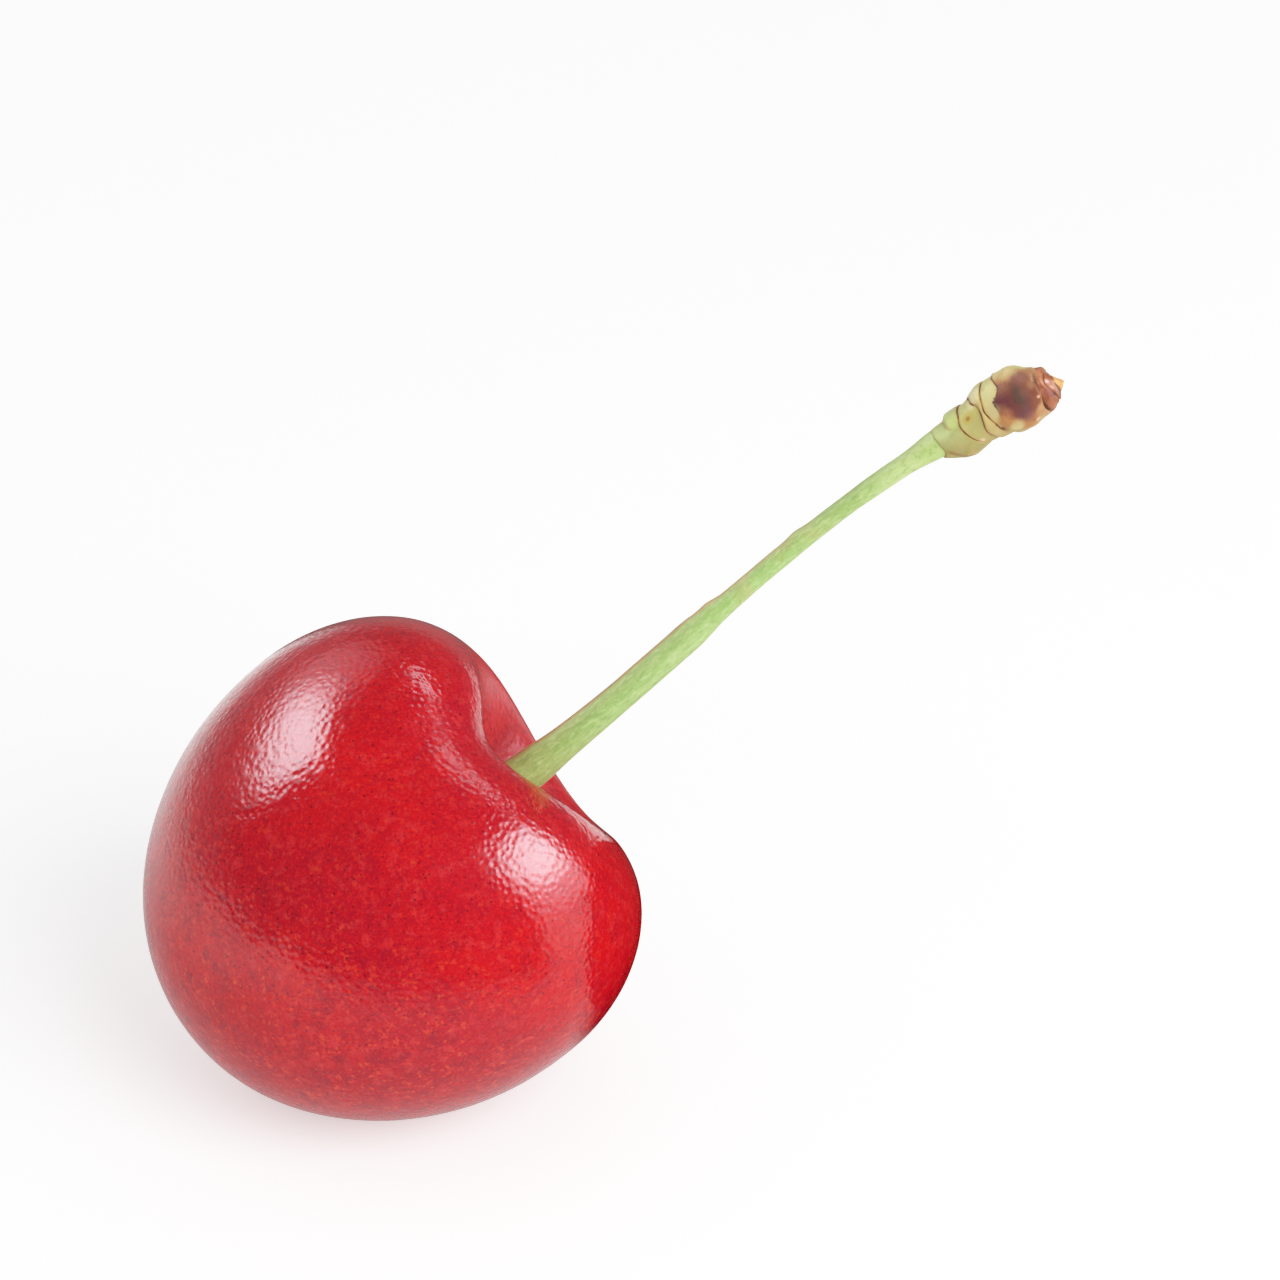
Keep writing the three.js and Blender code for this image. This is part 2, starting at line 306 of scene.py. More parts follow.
class Recipe:
    """One material's node tree, built from expressions."""

    def __init__(self, owner: bpy.types.Material | bpy.types.World) -> None:
        """Empties the owner's tree, to build it anew.

        Args:
            owner: The material or the world that the tree is for.
        """
        owner.use_nodes = True
        self.owner = owner
        self.tree = owner.node_tree
        self.tree.nodes.clear()

    @classmethod
    def material(cls, name: str) -> "Recipe":
        """Starts a new material of that name."""
        return cls(bpy.data.materials.new(name))

    def node(
        self,
        kind: str,
        settings: dict[str, object] | None = None,
        values: dict[int | str, object] | None = None,
    ) -> bpy.types.Node:
        """Adds any node: its settings first, then the values or links of its sockets.

        Args:
            kind: The node's type.
            settings: Its properties by name.
            values: What its input sockets get, by name or number: a Field, a number,
                a vector or a colour.

        Returns:
            The node.
        """
        made = self.tree.nodes.new(kind)
        for setting, value in (settings or {}).items():
            setattr(made, setting, value)
        for key, value in (values or {}).items():
            socket = made.inputs[key]
            if isinstance(value, Field):
                self.tree.links.new(value.socket, socket)
            elif socket.type == "RGBA":
                socket.default_value = (*value, 1.0)
            else:
                socket.default_value = value
        return made

    def place(self) -> Field:
        """The object's own coordinates, in millimetres."""
        coordinates = Field(self, self.node("ShaderNodeTexCoord").outputs["Object"])
        return self.stretched(coordinates, (1.0 / MM, 1.0 / MM, 1.0 / MM))

    def kept(self, name: str, vector: bool = False) -> Field:
        """An attribute that the mesh carries.

        Args:
            name: The attribute's name.
            vector: Whether it is a vector.

        Returns:
            Its value.
        """
        node = self.node("ShaderNodeAttribute", {"attribute_name": name})
        return Field(self, node.outputs["Vector" if vector else "Fac"])

    def stretched(self, vector: Field, factors: Sequence[float]) -> Field:
        """A vector with each of its axes multiplied by a factor."""
        node = self.node("ShaderNodeVectorMath", {"operation": "MULTIPLY"}, {0: vector, 1: factors})
        return Field(self, node.outputs[0])

    def distance(self, vector: Field, point: Sequence[float]) -> Field:
        """How far a vector is from a point."""
        node = self.node("ShaderNodeVectorMath", {"operation": "DISTANCE"}, {0: vector, 1: point})
        return Field(self, node.outputs["Value"])

    def spot(self, distance: Field, reach: float, softness: float) -> Field:
        """A soft spot.

        Args:
            distance: How far each place is from the spot's centre, in millimetres.
            reach: How far the middle of its border is.
            softness: The half width of its border, as a share of the reach.

        Returns:
            1 inside the spot and 0 outside.
        """
        return distance.smooth(reach * (1.0 + softness), reach * (1.0 - softness))

    def marked(
        self,
        own: Field,
        fine: Field,
        marks: Sequence["Mark"],
        skin: Field,
        share: Field | float = 1.0,
    ) -> Field:
        """Lays soft marks over a colour, one after the other.

        Args:
            own: The place the marks' centres are measured in.
            fine: A fine cloud, which makes the marks' outlines uneven.
            marks: The marks.
            skin: The colour under them.
            share: How much of the marks is let through.

        Returns:
            The colour.
        """
        for mark in marks:
            distance = self.distance(own, mark.centre) + 0.5 * mark.reach * (fine - 0.5)
            spot = self.spot(distance, mark.reach, mark.softness)
            skin = self.mix(spot * share * mark.strength, skin, mark.colour)
        return skin

    def along(self, vector: Field, direction: Sequence[float]) -> Field:
        """How far a vector reaches in a direction.

        Args:
            vector: The vector.
            direction: The direction; where it isn't one unit long, it scales the reach.

        Returns:
            The reach.
        """
        settings = {"operation": "DOT_PRODUCT"}
        node = self.node("ShaderNodeVectorMath", settings, {0: vector, 1: direction})
        return Field(self, node.outputs["Value"])

    def cloud(
        self, vector: Field, scale: float, detail: float = 2.0, roughness: float = 0.5
    ) -> Field:
        """Soft noise, about 0.5 on average.

        Args:
            vector: The coordinates, in millimetres.
            scale: How many waves there are to a millimetre.
            detail: How many finer layers it has.
            roughness: How strong the finer layers are.

        Returns:
            The noise.
        """
        node = self.node(
            "ShaderNodeTexNoise",
            {"noise_dimensions": "3D"},
            {"Vector": vector, "Scale": scale, "Detail": detail, "Roughness": roughness},
        )
        return Field(self, node.outputs[0])

    def cells(self, vector: Field, scale: float, softness: float = 0.0) -> Field:
        """Distance to the nearest of many scattered points, in cells.

        Args:
            vector: The coordinates, in millimetres.
            scale: How many cells there are to a millimetre.
            softness: How far the cells melt into each other, or 0 for sharp borders.

        Returns:
            The distance.
        """
        settings = {"voronoi_dimensions": "3D", "feature": "SMOOTH_F1" if softness else "F1"}
        values = {"Vector": vector, "Scale": scale}
        if softness:
            values["Smoothness"] = softness
        node = self.node("ShaderNodeTexVoronoi", settings, values)
        return Field(self, node.outputs["Distance"])

    def mix(self, share: Field | float, first: Field | Colour, second: Field | Colour) -> Field:
        """Blends two colours.

        Args:
            share: How much of the second there is.
            first: A colour.
            second: Another colour.

        Returns:
            The blend.
        """
        node = self.node("ShaderNodeMix", {"data_type": "RGBA"}, {0: share, 6: first, 7: second})
        return Field(self, node.outputs[2])

    def relief(self, height: Field) -> Field:
        """Turns a height in millimetres into a surface normal."""
        values = {"Strength": 1.0, "Distance": MM, "Height": height}
        return Field(self, self.node("ShaderNodeBump", {}, values).outputs["Normal"])

    def finish(self, values: dict[str, object]) -> bpy.types.Material:
        """Ends the tree in a shader.

        Args:
            values: What the shader's sockets get, by name.

        Returns:
            The material.
        """
        shader = self.node("ShaderNodeBsdfPrincipled", {}, values)
        surface = Field(self, shader.outputs["BSDF"])
        self.node("ShaderNodeOutputMaterial", {}, {"Surface": surface})
        return self.owner


@dataclass(frozen=True)
class CherrySkin:
    """Glossy red skin: mottled, with pale pores, dark flecks and fine hammered dimples."""

    bright: Colour = (0.465, 0.0024, 0.0055)
    crimson: Colour = (0.360, 0.0018, 0.0090)
    plum: Colour = (0.210, 0.0016, 0.0120)
    shaded: Colour = (0.240, 0.0018, 0.0100)
    glint: Colour = (0.620, 0.0160, 0.0140)
    rose: Colour = (0.540, 0.0300, 0.0340)
    pore: Colour = (0.600, 0.0420, 0.0160)
    fleck: Colour = (0.090, 0.0010, 0.0060)
    roughness: float = 0.11
    dimple_height: float = 0.0145
    low_side: Point = (-0.25, -0.30, -0.92)
    lowest_side: Point = (-0.10, -0.20, -0.97)
    bowl_at: Point = (7.2, 6.5, 17.5)
    ridge_at: Point = (4.8, -3.9, 22.3)

    def material(self) -> bpy.types.Material:
        """Builds the material.

        Returns:
            The material.
        """
        recipe = Recipe.material("cherry_skin")
        place = recipe.place()

        low = recipe.along(place, self.low_side).smooth(-17.0, -5.0)
        broad = recipe.cloud(place, 0.11, 2.0).smooth(0.35, 0.65)
        skin = recipe.mix(broad, self.bright, self.crimson)
        # Painted shade: the skin is darker towards the bottom.
        shade_below = recipe.along(place, self.lowest_side).smooth(-11.0, -3.0)
        skin = recipe.mix(shade_below * 0.45, skin, self.shaded)
        mottle = recipe.cloud(place, 1.0, 5.0, 0.65).smooth(0.44, 0.70)
        skin = recipe.mix(mottle * (0.35 + 0.50 * low), skin, self.plum)
        bloom = recipe.cloud(place, 1.5, 4.0, 0.65).smooth(0.48, 0.70)
        skin = recipe.mix(bloom * 0.45, skin, self.rose)
        grain = recipe.cloud(place, 6.5, 3.0, 0.8)
        skin = recipe.mix(grain.smooth(0.50, 0.62) * 0.55, skin, self.plum)
        skin = recipe.mix(grain.smooth(0.48, 0.36) * 0.45, skin, self.glint)

        patchy = recipe.cloud(place, 0.6, 2.0).smooth(0.34, 0.56)
        ragged = 0.30 * (recipe.cloud(place, 7.0, 2.0, 0.6) - 0.5)
        dots = 1.0 - (recipe.cells(place, 2.1) + ragged).smooth(0.08, 0.32)
        blots = recipe.cloud(place, 2.3, 3.0, 0.6).smooth(0.56, 0.70)
        pores = (0.8 * dots).maximum(blots)
        skin = recipe.mix(pores * (0.28 + 0.45 * low) * patchy, skin, self.pore)
        flecks = 1.0 - (recipe.cells(place, 2.6) + ragged).smooth(0.10, 0.20)
        skin = recipe.mix(flecks * 0.75, skin, self.fleck)

        dimples = recipe.cells(place, 3.1, 0.5).smooth(0.0, 0.8)
        coarse = recipe.cloud(place, 1.8, 2.0, 0.5)
        height = self.dimple_height * (dimples + coarse)
        return recipe.finish(
            {
                "Base Color": skin,
                "Roughness": self.roughness + 0.06 * coarse + self.dullness(recipe, place),
                "IOR": 1.46,
                "Subsurface Weight": 0.35,
                "Subsurface Radius": (2.5 * MM, 0.25 * MM, 0.20 * MM),
                "Subsurface Scale": 1.0,
                "Normal": recipe.relief(height),
            }
        )

    def dullness(self, recipe: Recipe, place: Field) -> Field:
        """How much rougher the skin is on the bowl's far wall and on the ridge before it.

        Args:
            recipe: The recipe.
            place: The place on the fruit as it lies.

        Returns:
            What is added to the roughness.
        """
        bowl = recipe.distance(place, self.bowl_at).smooth(7.5, 5.0)
        bowl = bowl * recipe.along(place, SIDEWAYS).smooth(2.6, 4.4)
        bowl = bowl * recipe.along(place, ACROSS).smooth(4.2, 5.4)
        ridge = recipe.distance(place, self.ridge_at).smooth(4.2, 1.0)
        return 0.22 * bowl + 0.09 * ridge


@dataclass(frozen=True)
class StalkSkin:
    """Smooth green bark: finely mottled, pale on its underside, with a tan line along the top."""

    green: Colour = (0.245, 0.405, 0.115)
    olive: Colour = (0.230, 0.320, 0.085)
    pale: Colour = (0.310, 0.455, 0.155)
    foot: Colour = (0.330, 0.360, 0.120)
    near_knob: Colour = (0.450, 0.550, 0.210)
    at_seam: Colour = (0.270, 0.420, 0.100)
    light_speck: Colour = (0.440, 0.560, 0.240)
    dark_speck: Colour = (0.180, 0.270, 0.080)
    tan: Colour = (0.420, 0.260, 0.110)
    beige: Colour = (0.560, 0.520, 0.330)
    knob_at: float = 31.0
    upper_side: Point = (0.875, -0.485, 0.0)

    def material(self) -> bpy.types.Material:
        """Builds the material.

        Returns:
            The material.
        """
        recipe = Recipe.material("stalk_skin")
        own = recipe.kept(OWN_PLACE, vector=True)
        along = recipe.along(own, UP)
        upper = recipe.along(own, self.upper_side)
        side = recipe.along(own, SIDEWAYS)
        angle = side.maths("ARCTAN2", side, recipe.along(own, ACROSS))

        drawn = recipe.stretched(own, (1.0, 1.0, 0.35))
        broad = recipe.cloud(recipe.stretched(own, (1.0, 1.0, 0.3)), 0.8, 2.0).smooth(0.35, 0.65)
        skin = recipe.mix(broad * 0.8, self.green, self.pale)
        skin = recipe.mix(upper.smooth(0.10, 0.50) * 0.65, skin, self.olive)
        skin = recipe.mix(upper.smooth(-0.10, -0.50) * 0.55, skin, self.pale)
        skin = recipe.mix(along.smooth(10.0, 2.0) * 0.75, skin, self.foot)
        brown = recipe.cloud(own, 0.45, 2.0).smooth(0.50, 0.66)
        brown = brown * along.band((17.0, 20.0), (28.0, 25.0))
        skin = recipe.mix(brown * 0.35, skin, self.tan)
        darker = along.band((21.5, 24.0), (28.0, 26.0))
        skin = recipe.mix(darker * 0.45, skin, self.olive)
        closer = along.smooth(self.knob_at - 5.0, self.knob_at + 0.5)
        skin = recipe.mix(closer * 0.85, skin, self.near_knob)
        last = along.smooth(29.8, 30.9) * upper.smooth(0.35, 0.0)
        skin = recipe.mix(last * 0.55, skin, self.at_seam)

        mottle = recipe.cloud(drawn, 6.0, 3.0, 0.7)
        skin = recipe.mix(mottle.smooth(0.50, 0.66) * 0.50, skin, self.light_speck)
        skin = recipe.mix(mottle.smooth(0.48, 0.34) * 0.50, skin, self.dark_speck)
        specks = recipe.cloud(own, 3.4, 2.0, 0.6).smooth(0.62, 0.72)
        skin = recipe.mix(specks * 0.5, skin, self.dark_speck)

        worn = recipe.cloud(own, 1.4, 3.0, 0.6).smooth(0.30, 0.55)
        top = angle.band((-1.25, -0.85), (0.16, -0.06)) * along.band((3.0, 5.0), (26.0, 20.0))
        skin = recipe.mix(top * (0.45 + 0.45 * worn), skin, self.tan)
        under = angle.band((2.15, 2.50), (3.05, 2.85))
        skin = recipe.mix(under * (0.35 + 0.35 * worn), skin, self.beige)

        height = 0.014 * recipe.cloud(drawn, 2.4, 4.0, 0.6) + 0.008 * mottle
        return recipe.finish(
            {
                "Base Color": skin,
                "Roughness": 0.40 + 0.20 * mottle,
                "IOR": 1.44,
                "Subsurface Weight": 0.10,
                "Subsurface Radius": (0.5 * MM, 0.6 * MM, 0.2 * MM),
                "Subsurface Scale": 1.0,
                "Normal": recipe.relief(height),
            }
        )


@dataclass(frozen=True)
class Mark:
    """A soft coloured mark: its centre on the straight knob, its reach and its strength."""

    centre: Point
    reach: float
    strength: float
    colour: Colour
    softness: float = 0.8


def row_of_marks(
    first: tuple[float, float, float],
    last: tuple[float, float, float],
    count: int,
    like: Mark,
    sag: float = 0.0,
) -> tuple[Mark, ...]:
    """Lays equal marks in a row round the knob.

    Args:
        first: The first mark's distance from the middle line, its angle round it in degrees,
            and its distance from the seam.
        last: The same for the last mark.
        count: How many marks there are.
        like: The mark that each of them is like.
        sag: How far the middle of the row hangs back towards the seam.

    Returns:
        The marks.
    """
    row = []
    for number in range(count):
        share = number / (count - 1)
        out, degrees, height = Vector(first).lerp(Vector(last), share)
        angle = math.radians(degrees)
        height -= 4.0 * sag * share * (1.0 - share)
        centre = (out * math.cos(angle), out * math.sin(angle), height)
        row.append(replace(like, centre=centre))
    return tuple(row)


# Painted shade: the dark groove where the torn tip leaves the lip.
SHADED_GROOVE = row_of_marks(
    (1.183, 18.7, 5.94),
    (1.112, 67.8, 6.00),
    6,
    Mark((0.0, 0.0, 0.0), 0.118, 0.89, (0.080, 0.032, 0.014)),
    sag=0.058,
)


@dataclass(frozen=True)
class ScaleSkin:
    """Pale bud scales, greener near the stalk, with thin brown edges and a big dark scar."""

    green: Colour = (0.275, 0.335, 0.105)
    olive: Colour = (0.400, 0.350, 0.100)
    cream: Colour = (0.550, 0.420, 0.165)
    pale: Colour = (0.400, 0.420, 0.190)
    tan: Colour = (0.420, 0.250, 0.090)
    lit: Colour = (0.600, 0.630, 0.270)
    shade: Colour = (0.240, 0.150, 0.045)
    line: Colour = (0.110, 0.045, 0.016)
    lip: Colour = (0.380, 0.185, 0.110)
    rust: Colour = (0.320, 0.135, 0.042)
    bruise: Colour = (0.145, 0.037, 0.018)
    violet: Colour = (0.088, 0.023, 0.030)
    heart: Colour = (0.056, 0.036, 0.026)
    dark: Colour = (0.040, 0.018, 0.014)
    towards_light: Point = (0.89, -0.45, 0.0)
    # The scar is where these balls, each a centre and a radius, melt together. The higher the
    # power is, the less they do.
    scar_balls: tuple[tuple[Point, float], ...] = (
        ((1.02, 1.25, 4.05), 0.74),
        ((0.62, 1.50, 4.45), 0.70),
        ((0.20, 1.46, 5.00), 0.86),
        ((0.76, 1.15, 5.12), 0.74),
        ((1.20, 0.62, 5.22), 0.42),
    )
    scar_power: float = 4.0
    heart_at: Point = (0.62, 1.38, 10.85)
    heart_stretch: Point = (1.0, 1.0, 2.2)
    heart_reach: float = 0.74
    # The tones of the rings, from the stalk up, under the scar; some of them are painted light and
    # shade.
    marks: tuple[Mark, ...] = (
        Mark((1.10, 0.45, 1.20), 0.50, 0.70, (0.430, 0.530, 0.150), 0.45),
        # Painted light: the first ring is lighter on its upper side.
        Mark((0.80, 0.45, 0.50), 0.55, 0.80, (0.450, 0.540, 0.210), 0.45),
        Mark((-0.75, 0.90, -0.20), 0.34, 0.70, (0.380, 0.350, 0.130), 0.7),
        Mark((-1.10, 0.70, 0.95), 0.42, 0.60, (0.420, 0.250, 0.090), 0.45),
        # Painted highlight: a small pink glint on the second ring.
        Mark((-0.42, 1.20, 2.05), 0.14, 0.75, (0.640, 0.430, 0.280)),
        # Painted shade: the second ring is darker in its middle, and the third on its lower side.
        Mark((0.35, 1.25, 2.20), 0.48, 0.85, (0.300, 0.290, 0.100)),
        Mark((-0.50, 1.32, 2.95), 0.36, 0.80, (0.345, 0.265, 0.105)),
        Mark((0.92, 0.95, 1.98), 0.34, 0.60, (0.400, 0.270, 0.045), 0.45),
        Mark((0.92, 0.95, 1.98), 0.13, 0.80, (0.230, 0.100, 0.018), 0.45),
        # Painted light: the third ring is lighter on its upper side.
        Mark((1.35, 0.30, 2.62), 0.46, 0.75, (0.760, 0.700, 0.370), 0.45),
        Mark((1.50, 0.10, 4.30), 0.55, 0.70, (0.720, 0.540, 0.230), 0.45),
        Mark((-0.10, 1.60, 3.72), 0.42, 0.90, (0.300, 0.130, 0.042), 0.45),
        Mark((-0.90, 1.35, 4.78), 0.55, 0.90, (0.350, 0.130, 0.042), 0.45),
        Mark((-0.68, 1.48, 4.12), 0.34, 0.85, (0.520, 0.470, 0.210), 0.45),
        Mark((-0.60, 1.08, 5.52), 0.45, 0.80, (0.400, 0.205, 0.100), 0.45),
        Mark((1.10, 0.25, 5.65), 0.40, 0.70, (0.380, 0.210, 0.075), 0.45),
    )
    # Uneven tones of the scar, which keep to its side of the flap.
    scar_marks: tuple[Mark, ...] = (
        Mark((0.95, 1.42, 3.95), 0.60, 0.90, (0.088, 0.023, 0.030), 0.7),
        Mark((0.20, 1.65, 4.42), 0.40, 0.45, (0.088, 0.023, 0.030), 0.7),
        Mark((-0.35, 1.55, 4.80), 0.38, 0.80, (0.085, 0.028, 0.036), 0.7),
        Mark((1.32, 1.02, 4.30), 0.42, 0.55, (0.190, 0.074, 0.030), 0.7),
        Mark((1.22, 0.50, 5.28), 0.50, 0.70, (0.230, 0.110, 0.075)),
        Mark((0.12, 1.30, 5.50), 0.30, 0.80, (0.165, 0.055, 0.026), 0.7),
        Mark((0.69, 1.20, 5.30), 0.32, 0.70, (0.130, 0.050, 0.032)),
        Mark((0.22, 1.35, 5.20), 0.26, 0.55, (0.085, 0.025, 0.026)),
        Mark((0.50, 1.50, 3.85), 0.26, 0.60, (0.240, 0.100, 0.045)),
        Mark((-0.66, 1.38, 4.92), 0.30, 0.75, (0.170, 0.062, 0.034)),
        Mark((0.17, 1.60, 4.00), 0.26, 0.40, (0.400, 0.170, 0.070)),
    )
    # What lies over the scar and the scales alike: first small tones near the lip and the flap.
    details: tuple[Mark, ...] = (
        Mark((1.62, 0.10, 4.70), 0.42, 0.65, (0.640, 0.500, 0.230)),
        Mark((0.80, 0.96, 5.68), 0.22, 0.60, (0.320, 0.165, 0.085)),
        Mark((0.46, 1.07, 5.90), 0.20, 0.70, (0.170, 0.062, 0.030)),
        Mark((0.80, 0.80, 5.96), 0.16, 0.60, (0.200, 0.085, 0.040)),
        Mark((-0.46, 1.16, 5.57), 0.20, 0.25, (0.560, 0.360, 0.210)),
        Mark((-0.61, 1.55, 4.20), 0.26, 0.28, (0.440, 0.470, 0.220)),
        Mark((-0.55, 1.45, 3.43), 0.18, 0.70, (0.260, 0.110, 0.045)),
        Mark((0.71, 1.45, 3.40), 0.30, 0.50, (0.360, 0.320, 0.170)),
        # The brown edge at the knob's start, on its lower side.
        *row_of_marks(
            (1.011, 114.5, 0.16),
            (1.259, 147.3, 0.75),
            4,
            Mark((0.0, 0.0, 0.0), 0.17, 0.73, (0.245, 0.132, 0.048)),
            sag=0.07,
        ),
        # Dark specks along the scales' edges.
        Mark((1.01, 1.29, 3.62), 0.08, 0.90, (0.050, 0.025, 0.014), 0.7),
        Mark((0.86, 1.42, 3.61), 0.06, 0.85, (0.050, 0.025, 0.014), 0.7),
        Mark((1.12, 1.18, 3.72), 0.05, 0.85, (0.050, 0.025, 0.014), 0.7),
        Mark((1.33, 0.88, 4.05), 0.07, 0.85, (0.070, 0.035, 0.016), 0.7),
        Mark((1.58, -0.03, 3.90), 0.10, 0.85, (0.110, 0.055, 0.020), 0.7),
        Mark((-0.40, 1.46, 3.36), 0.13, 0.90, (0.110, 0.036, 0.014), 0.7),
        Mark((-0.06, 1.47, 3.16), 0.06, 0.80, (0.110, 0.045, 0.016), 0.7),
        Mark((-0.98, 1.30, 4.98), 0.07, 0.80, (0.120, 0.040, 0.018), 0.7),
        # Painted highlights: pink glints under the lip.
        Mark((0.14, 1.21, 5.74), 0.07, 0.85, (0.680, 0.340, 0.240), 0.9),
        Mark((-1.09, 1.06, 5.14), 0.12, 0.80, (0.680, 0.370, 0.250)),
        *row_of_marks(
            (1.195, 17.5, 5.84),
            (1.137, 39.3, 5.79),
            4,
            Mark((0.0, 0.0, 0.0), 0.08, 0.62, (0.612, 0.348, 0.218)),
        ),
    )

    def material(self) -> bpy.types.Material:
        """Builds the material.

        Returns:
            The material.
        """
        recipe = Recipe.material("bud_scale_skin")
        own = recipe.kept(OWN_PLACE, vector=True)
        edge = recipe.kept(EDGE_LINE)
        fine = recipe.cloud(own, 2.0, 4.0, 0.65)
        grit = recipe.cloud(own, 7.0, 3.0, 0.7)

        skin = self.bark(recipe, own, fine)
        beside = edge.smooth(0.25, 0.80)
        skin = recipe.mix(beside * (0.40 + 0.50 * fine), skin, self.tan)
        skin = recipe.mix(grit.smooth(0.55, 0.72) * 0.25, skin, self.tan)
        skin = self.scar(recipe, own, fine, grit, skin)
        skin = recipe.marked(own, fine, (*self.details, *SHADED_GROOVE), skin)

        broken = recipe.cloud(own, 1.6, 3.0).smooth(0.36, 0.56)
        line = edge.smooth(0.62, 0.86)
        skin = recipe.mix(line * (0.35 + 0.60 * broken), skin, self.line)

        height = 0.035 * fine + 0.018 * grit
        return recipe.finish(
            {
                "Base Color": skin,
                "Roughness": 0.42 + 0.2 * fine,
                "IOR": 1.36,
                "Normal": recipe.relief(height),
            }
        )

    def bark(self, recipe: Recipe, own: Field, fine: Field) -> Field:
        """Colours the scales ring by ring, with their marks.

        Args:
            recipe: The recipe.
            own: The place on the straight knob.
            fine: A fine cloud.

        Returns:
            The colour.
        """
        level = recipe.kept(RING_LEVEL)
        skin = recipe.mix(level.smooth(0.97, 1.03), self.green, self.olive)
        skin = recipe.mix(level.smooth(1.97, 2.03), skin, self.cream)
        broad = recipe.cloud(own, 0.9, 2.0).smooth(0.42, 0.60)
        skin = recipe.mix(broad * 0.55, skin, self.pale)
        facing = recipe.along(own, self.towards_light)
        skin = recipe.mix(facing.smooth(0.2, 1.2) * 0.50, skin, self.lit)
        skin = recipe.mix(facing.smooth(0.4, -1.0) * 0.62, skin, self.shade)
        skin = recipe.mix(fine.smooth(0.52, 0.74) * 0.40, skin, self.tan)
        skin = recipe.marked(own, fine, self.marks, skin)
        return recipe.mix(level.smooth(3.80, 3.96) * 0.75, skin, self.lip)

    def scar(self, recipe: Recipe, own: Field, fine: Field, grit: Field, skin: Field) -> Field:
        """Lays the dark scar over the skin, on the far side of the flap that borders it.

        Args:
            recipe: The recipe.
            own: The place on the straight knob.
            fine: A fine cloud.
            grit: A finer one.
            skin: The colour under the scar.

        Returns:
            The colour.
        """
        closeness = [
            (recipe.distance(own, centre) / radius) ** -self.scar_power
            for centre, radius in self.scar_balls
        ]
        scar = 1.0 - sum(closeness, 0.0) ** (-1.0 / self.scar_power)
        scar = scar + 0.22 * (fine - 0.5) + 0.22 * (grit - 0.5)
        past = recipe.kept(PAST_FLAP)
        skin = recipe.mix(scar.smooth(-0.75, 0.0) * past * 0.90, skin, self.rust)
        blotch = recipe.cloud(own, 1.6, 3.0, 0.6)
        bruise = recipe.mix(blotch.smooth(0.50, 0.66) * 0.6, self.bruise, self.violet)
        skin = recipe.mix(scar.smooth(-0.06, 0.26) * past, skin, bruise)
        heart = recipe.distance(recipe.stretched(own, self.heart_stretch), self.heart_at)
        heart = recipe.spot(heart + 0.5 * (fine - 0.5), self.heart_reach, 0.8)
        skin = recipe.mix(heart * past * 0.95, skin, self.heart)
        skin = recipe.marked(own, fine, self.scar_marks, skin, past)
        pits = grit.smooth(0.60, 0.70) * scar.smooth(0.0, 0.2) * past
        return recipe.mix(pits * 0.6, skin, self.dark)


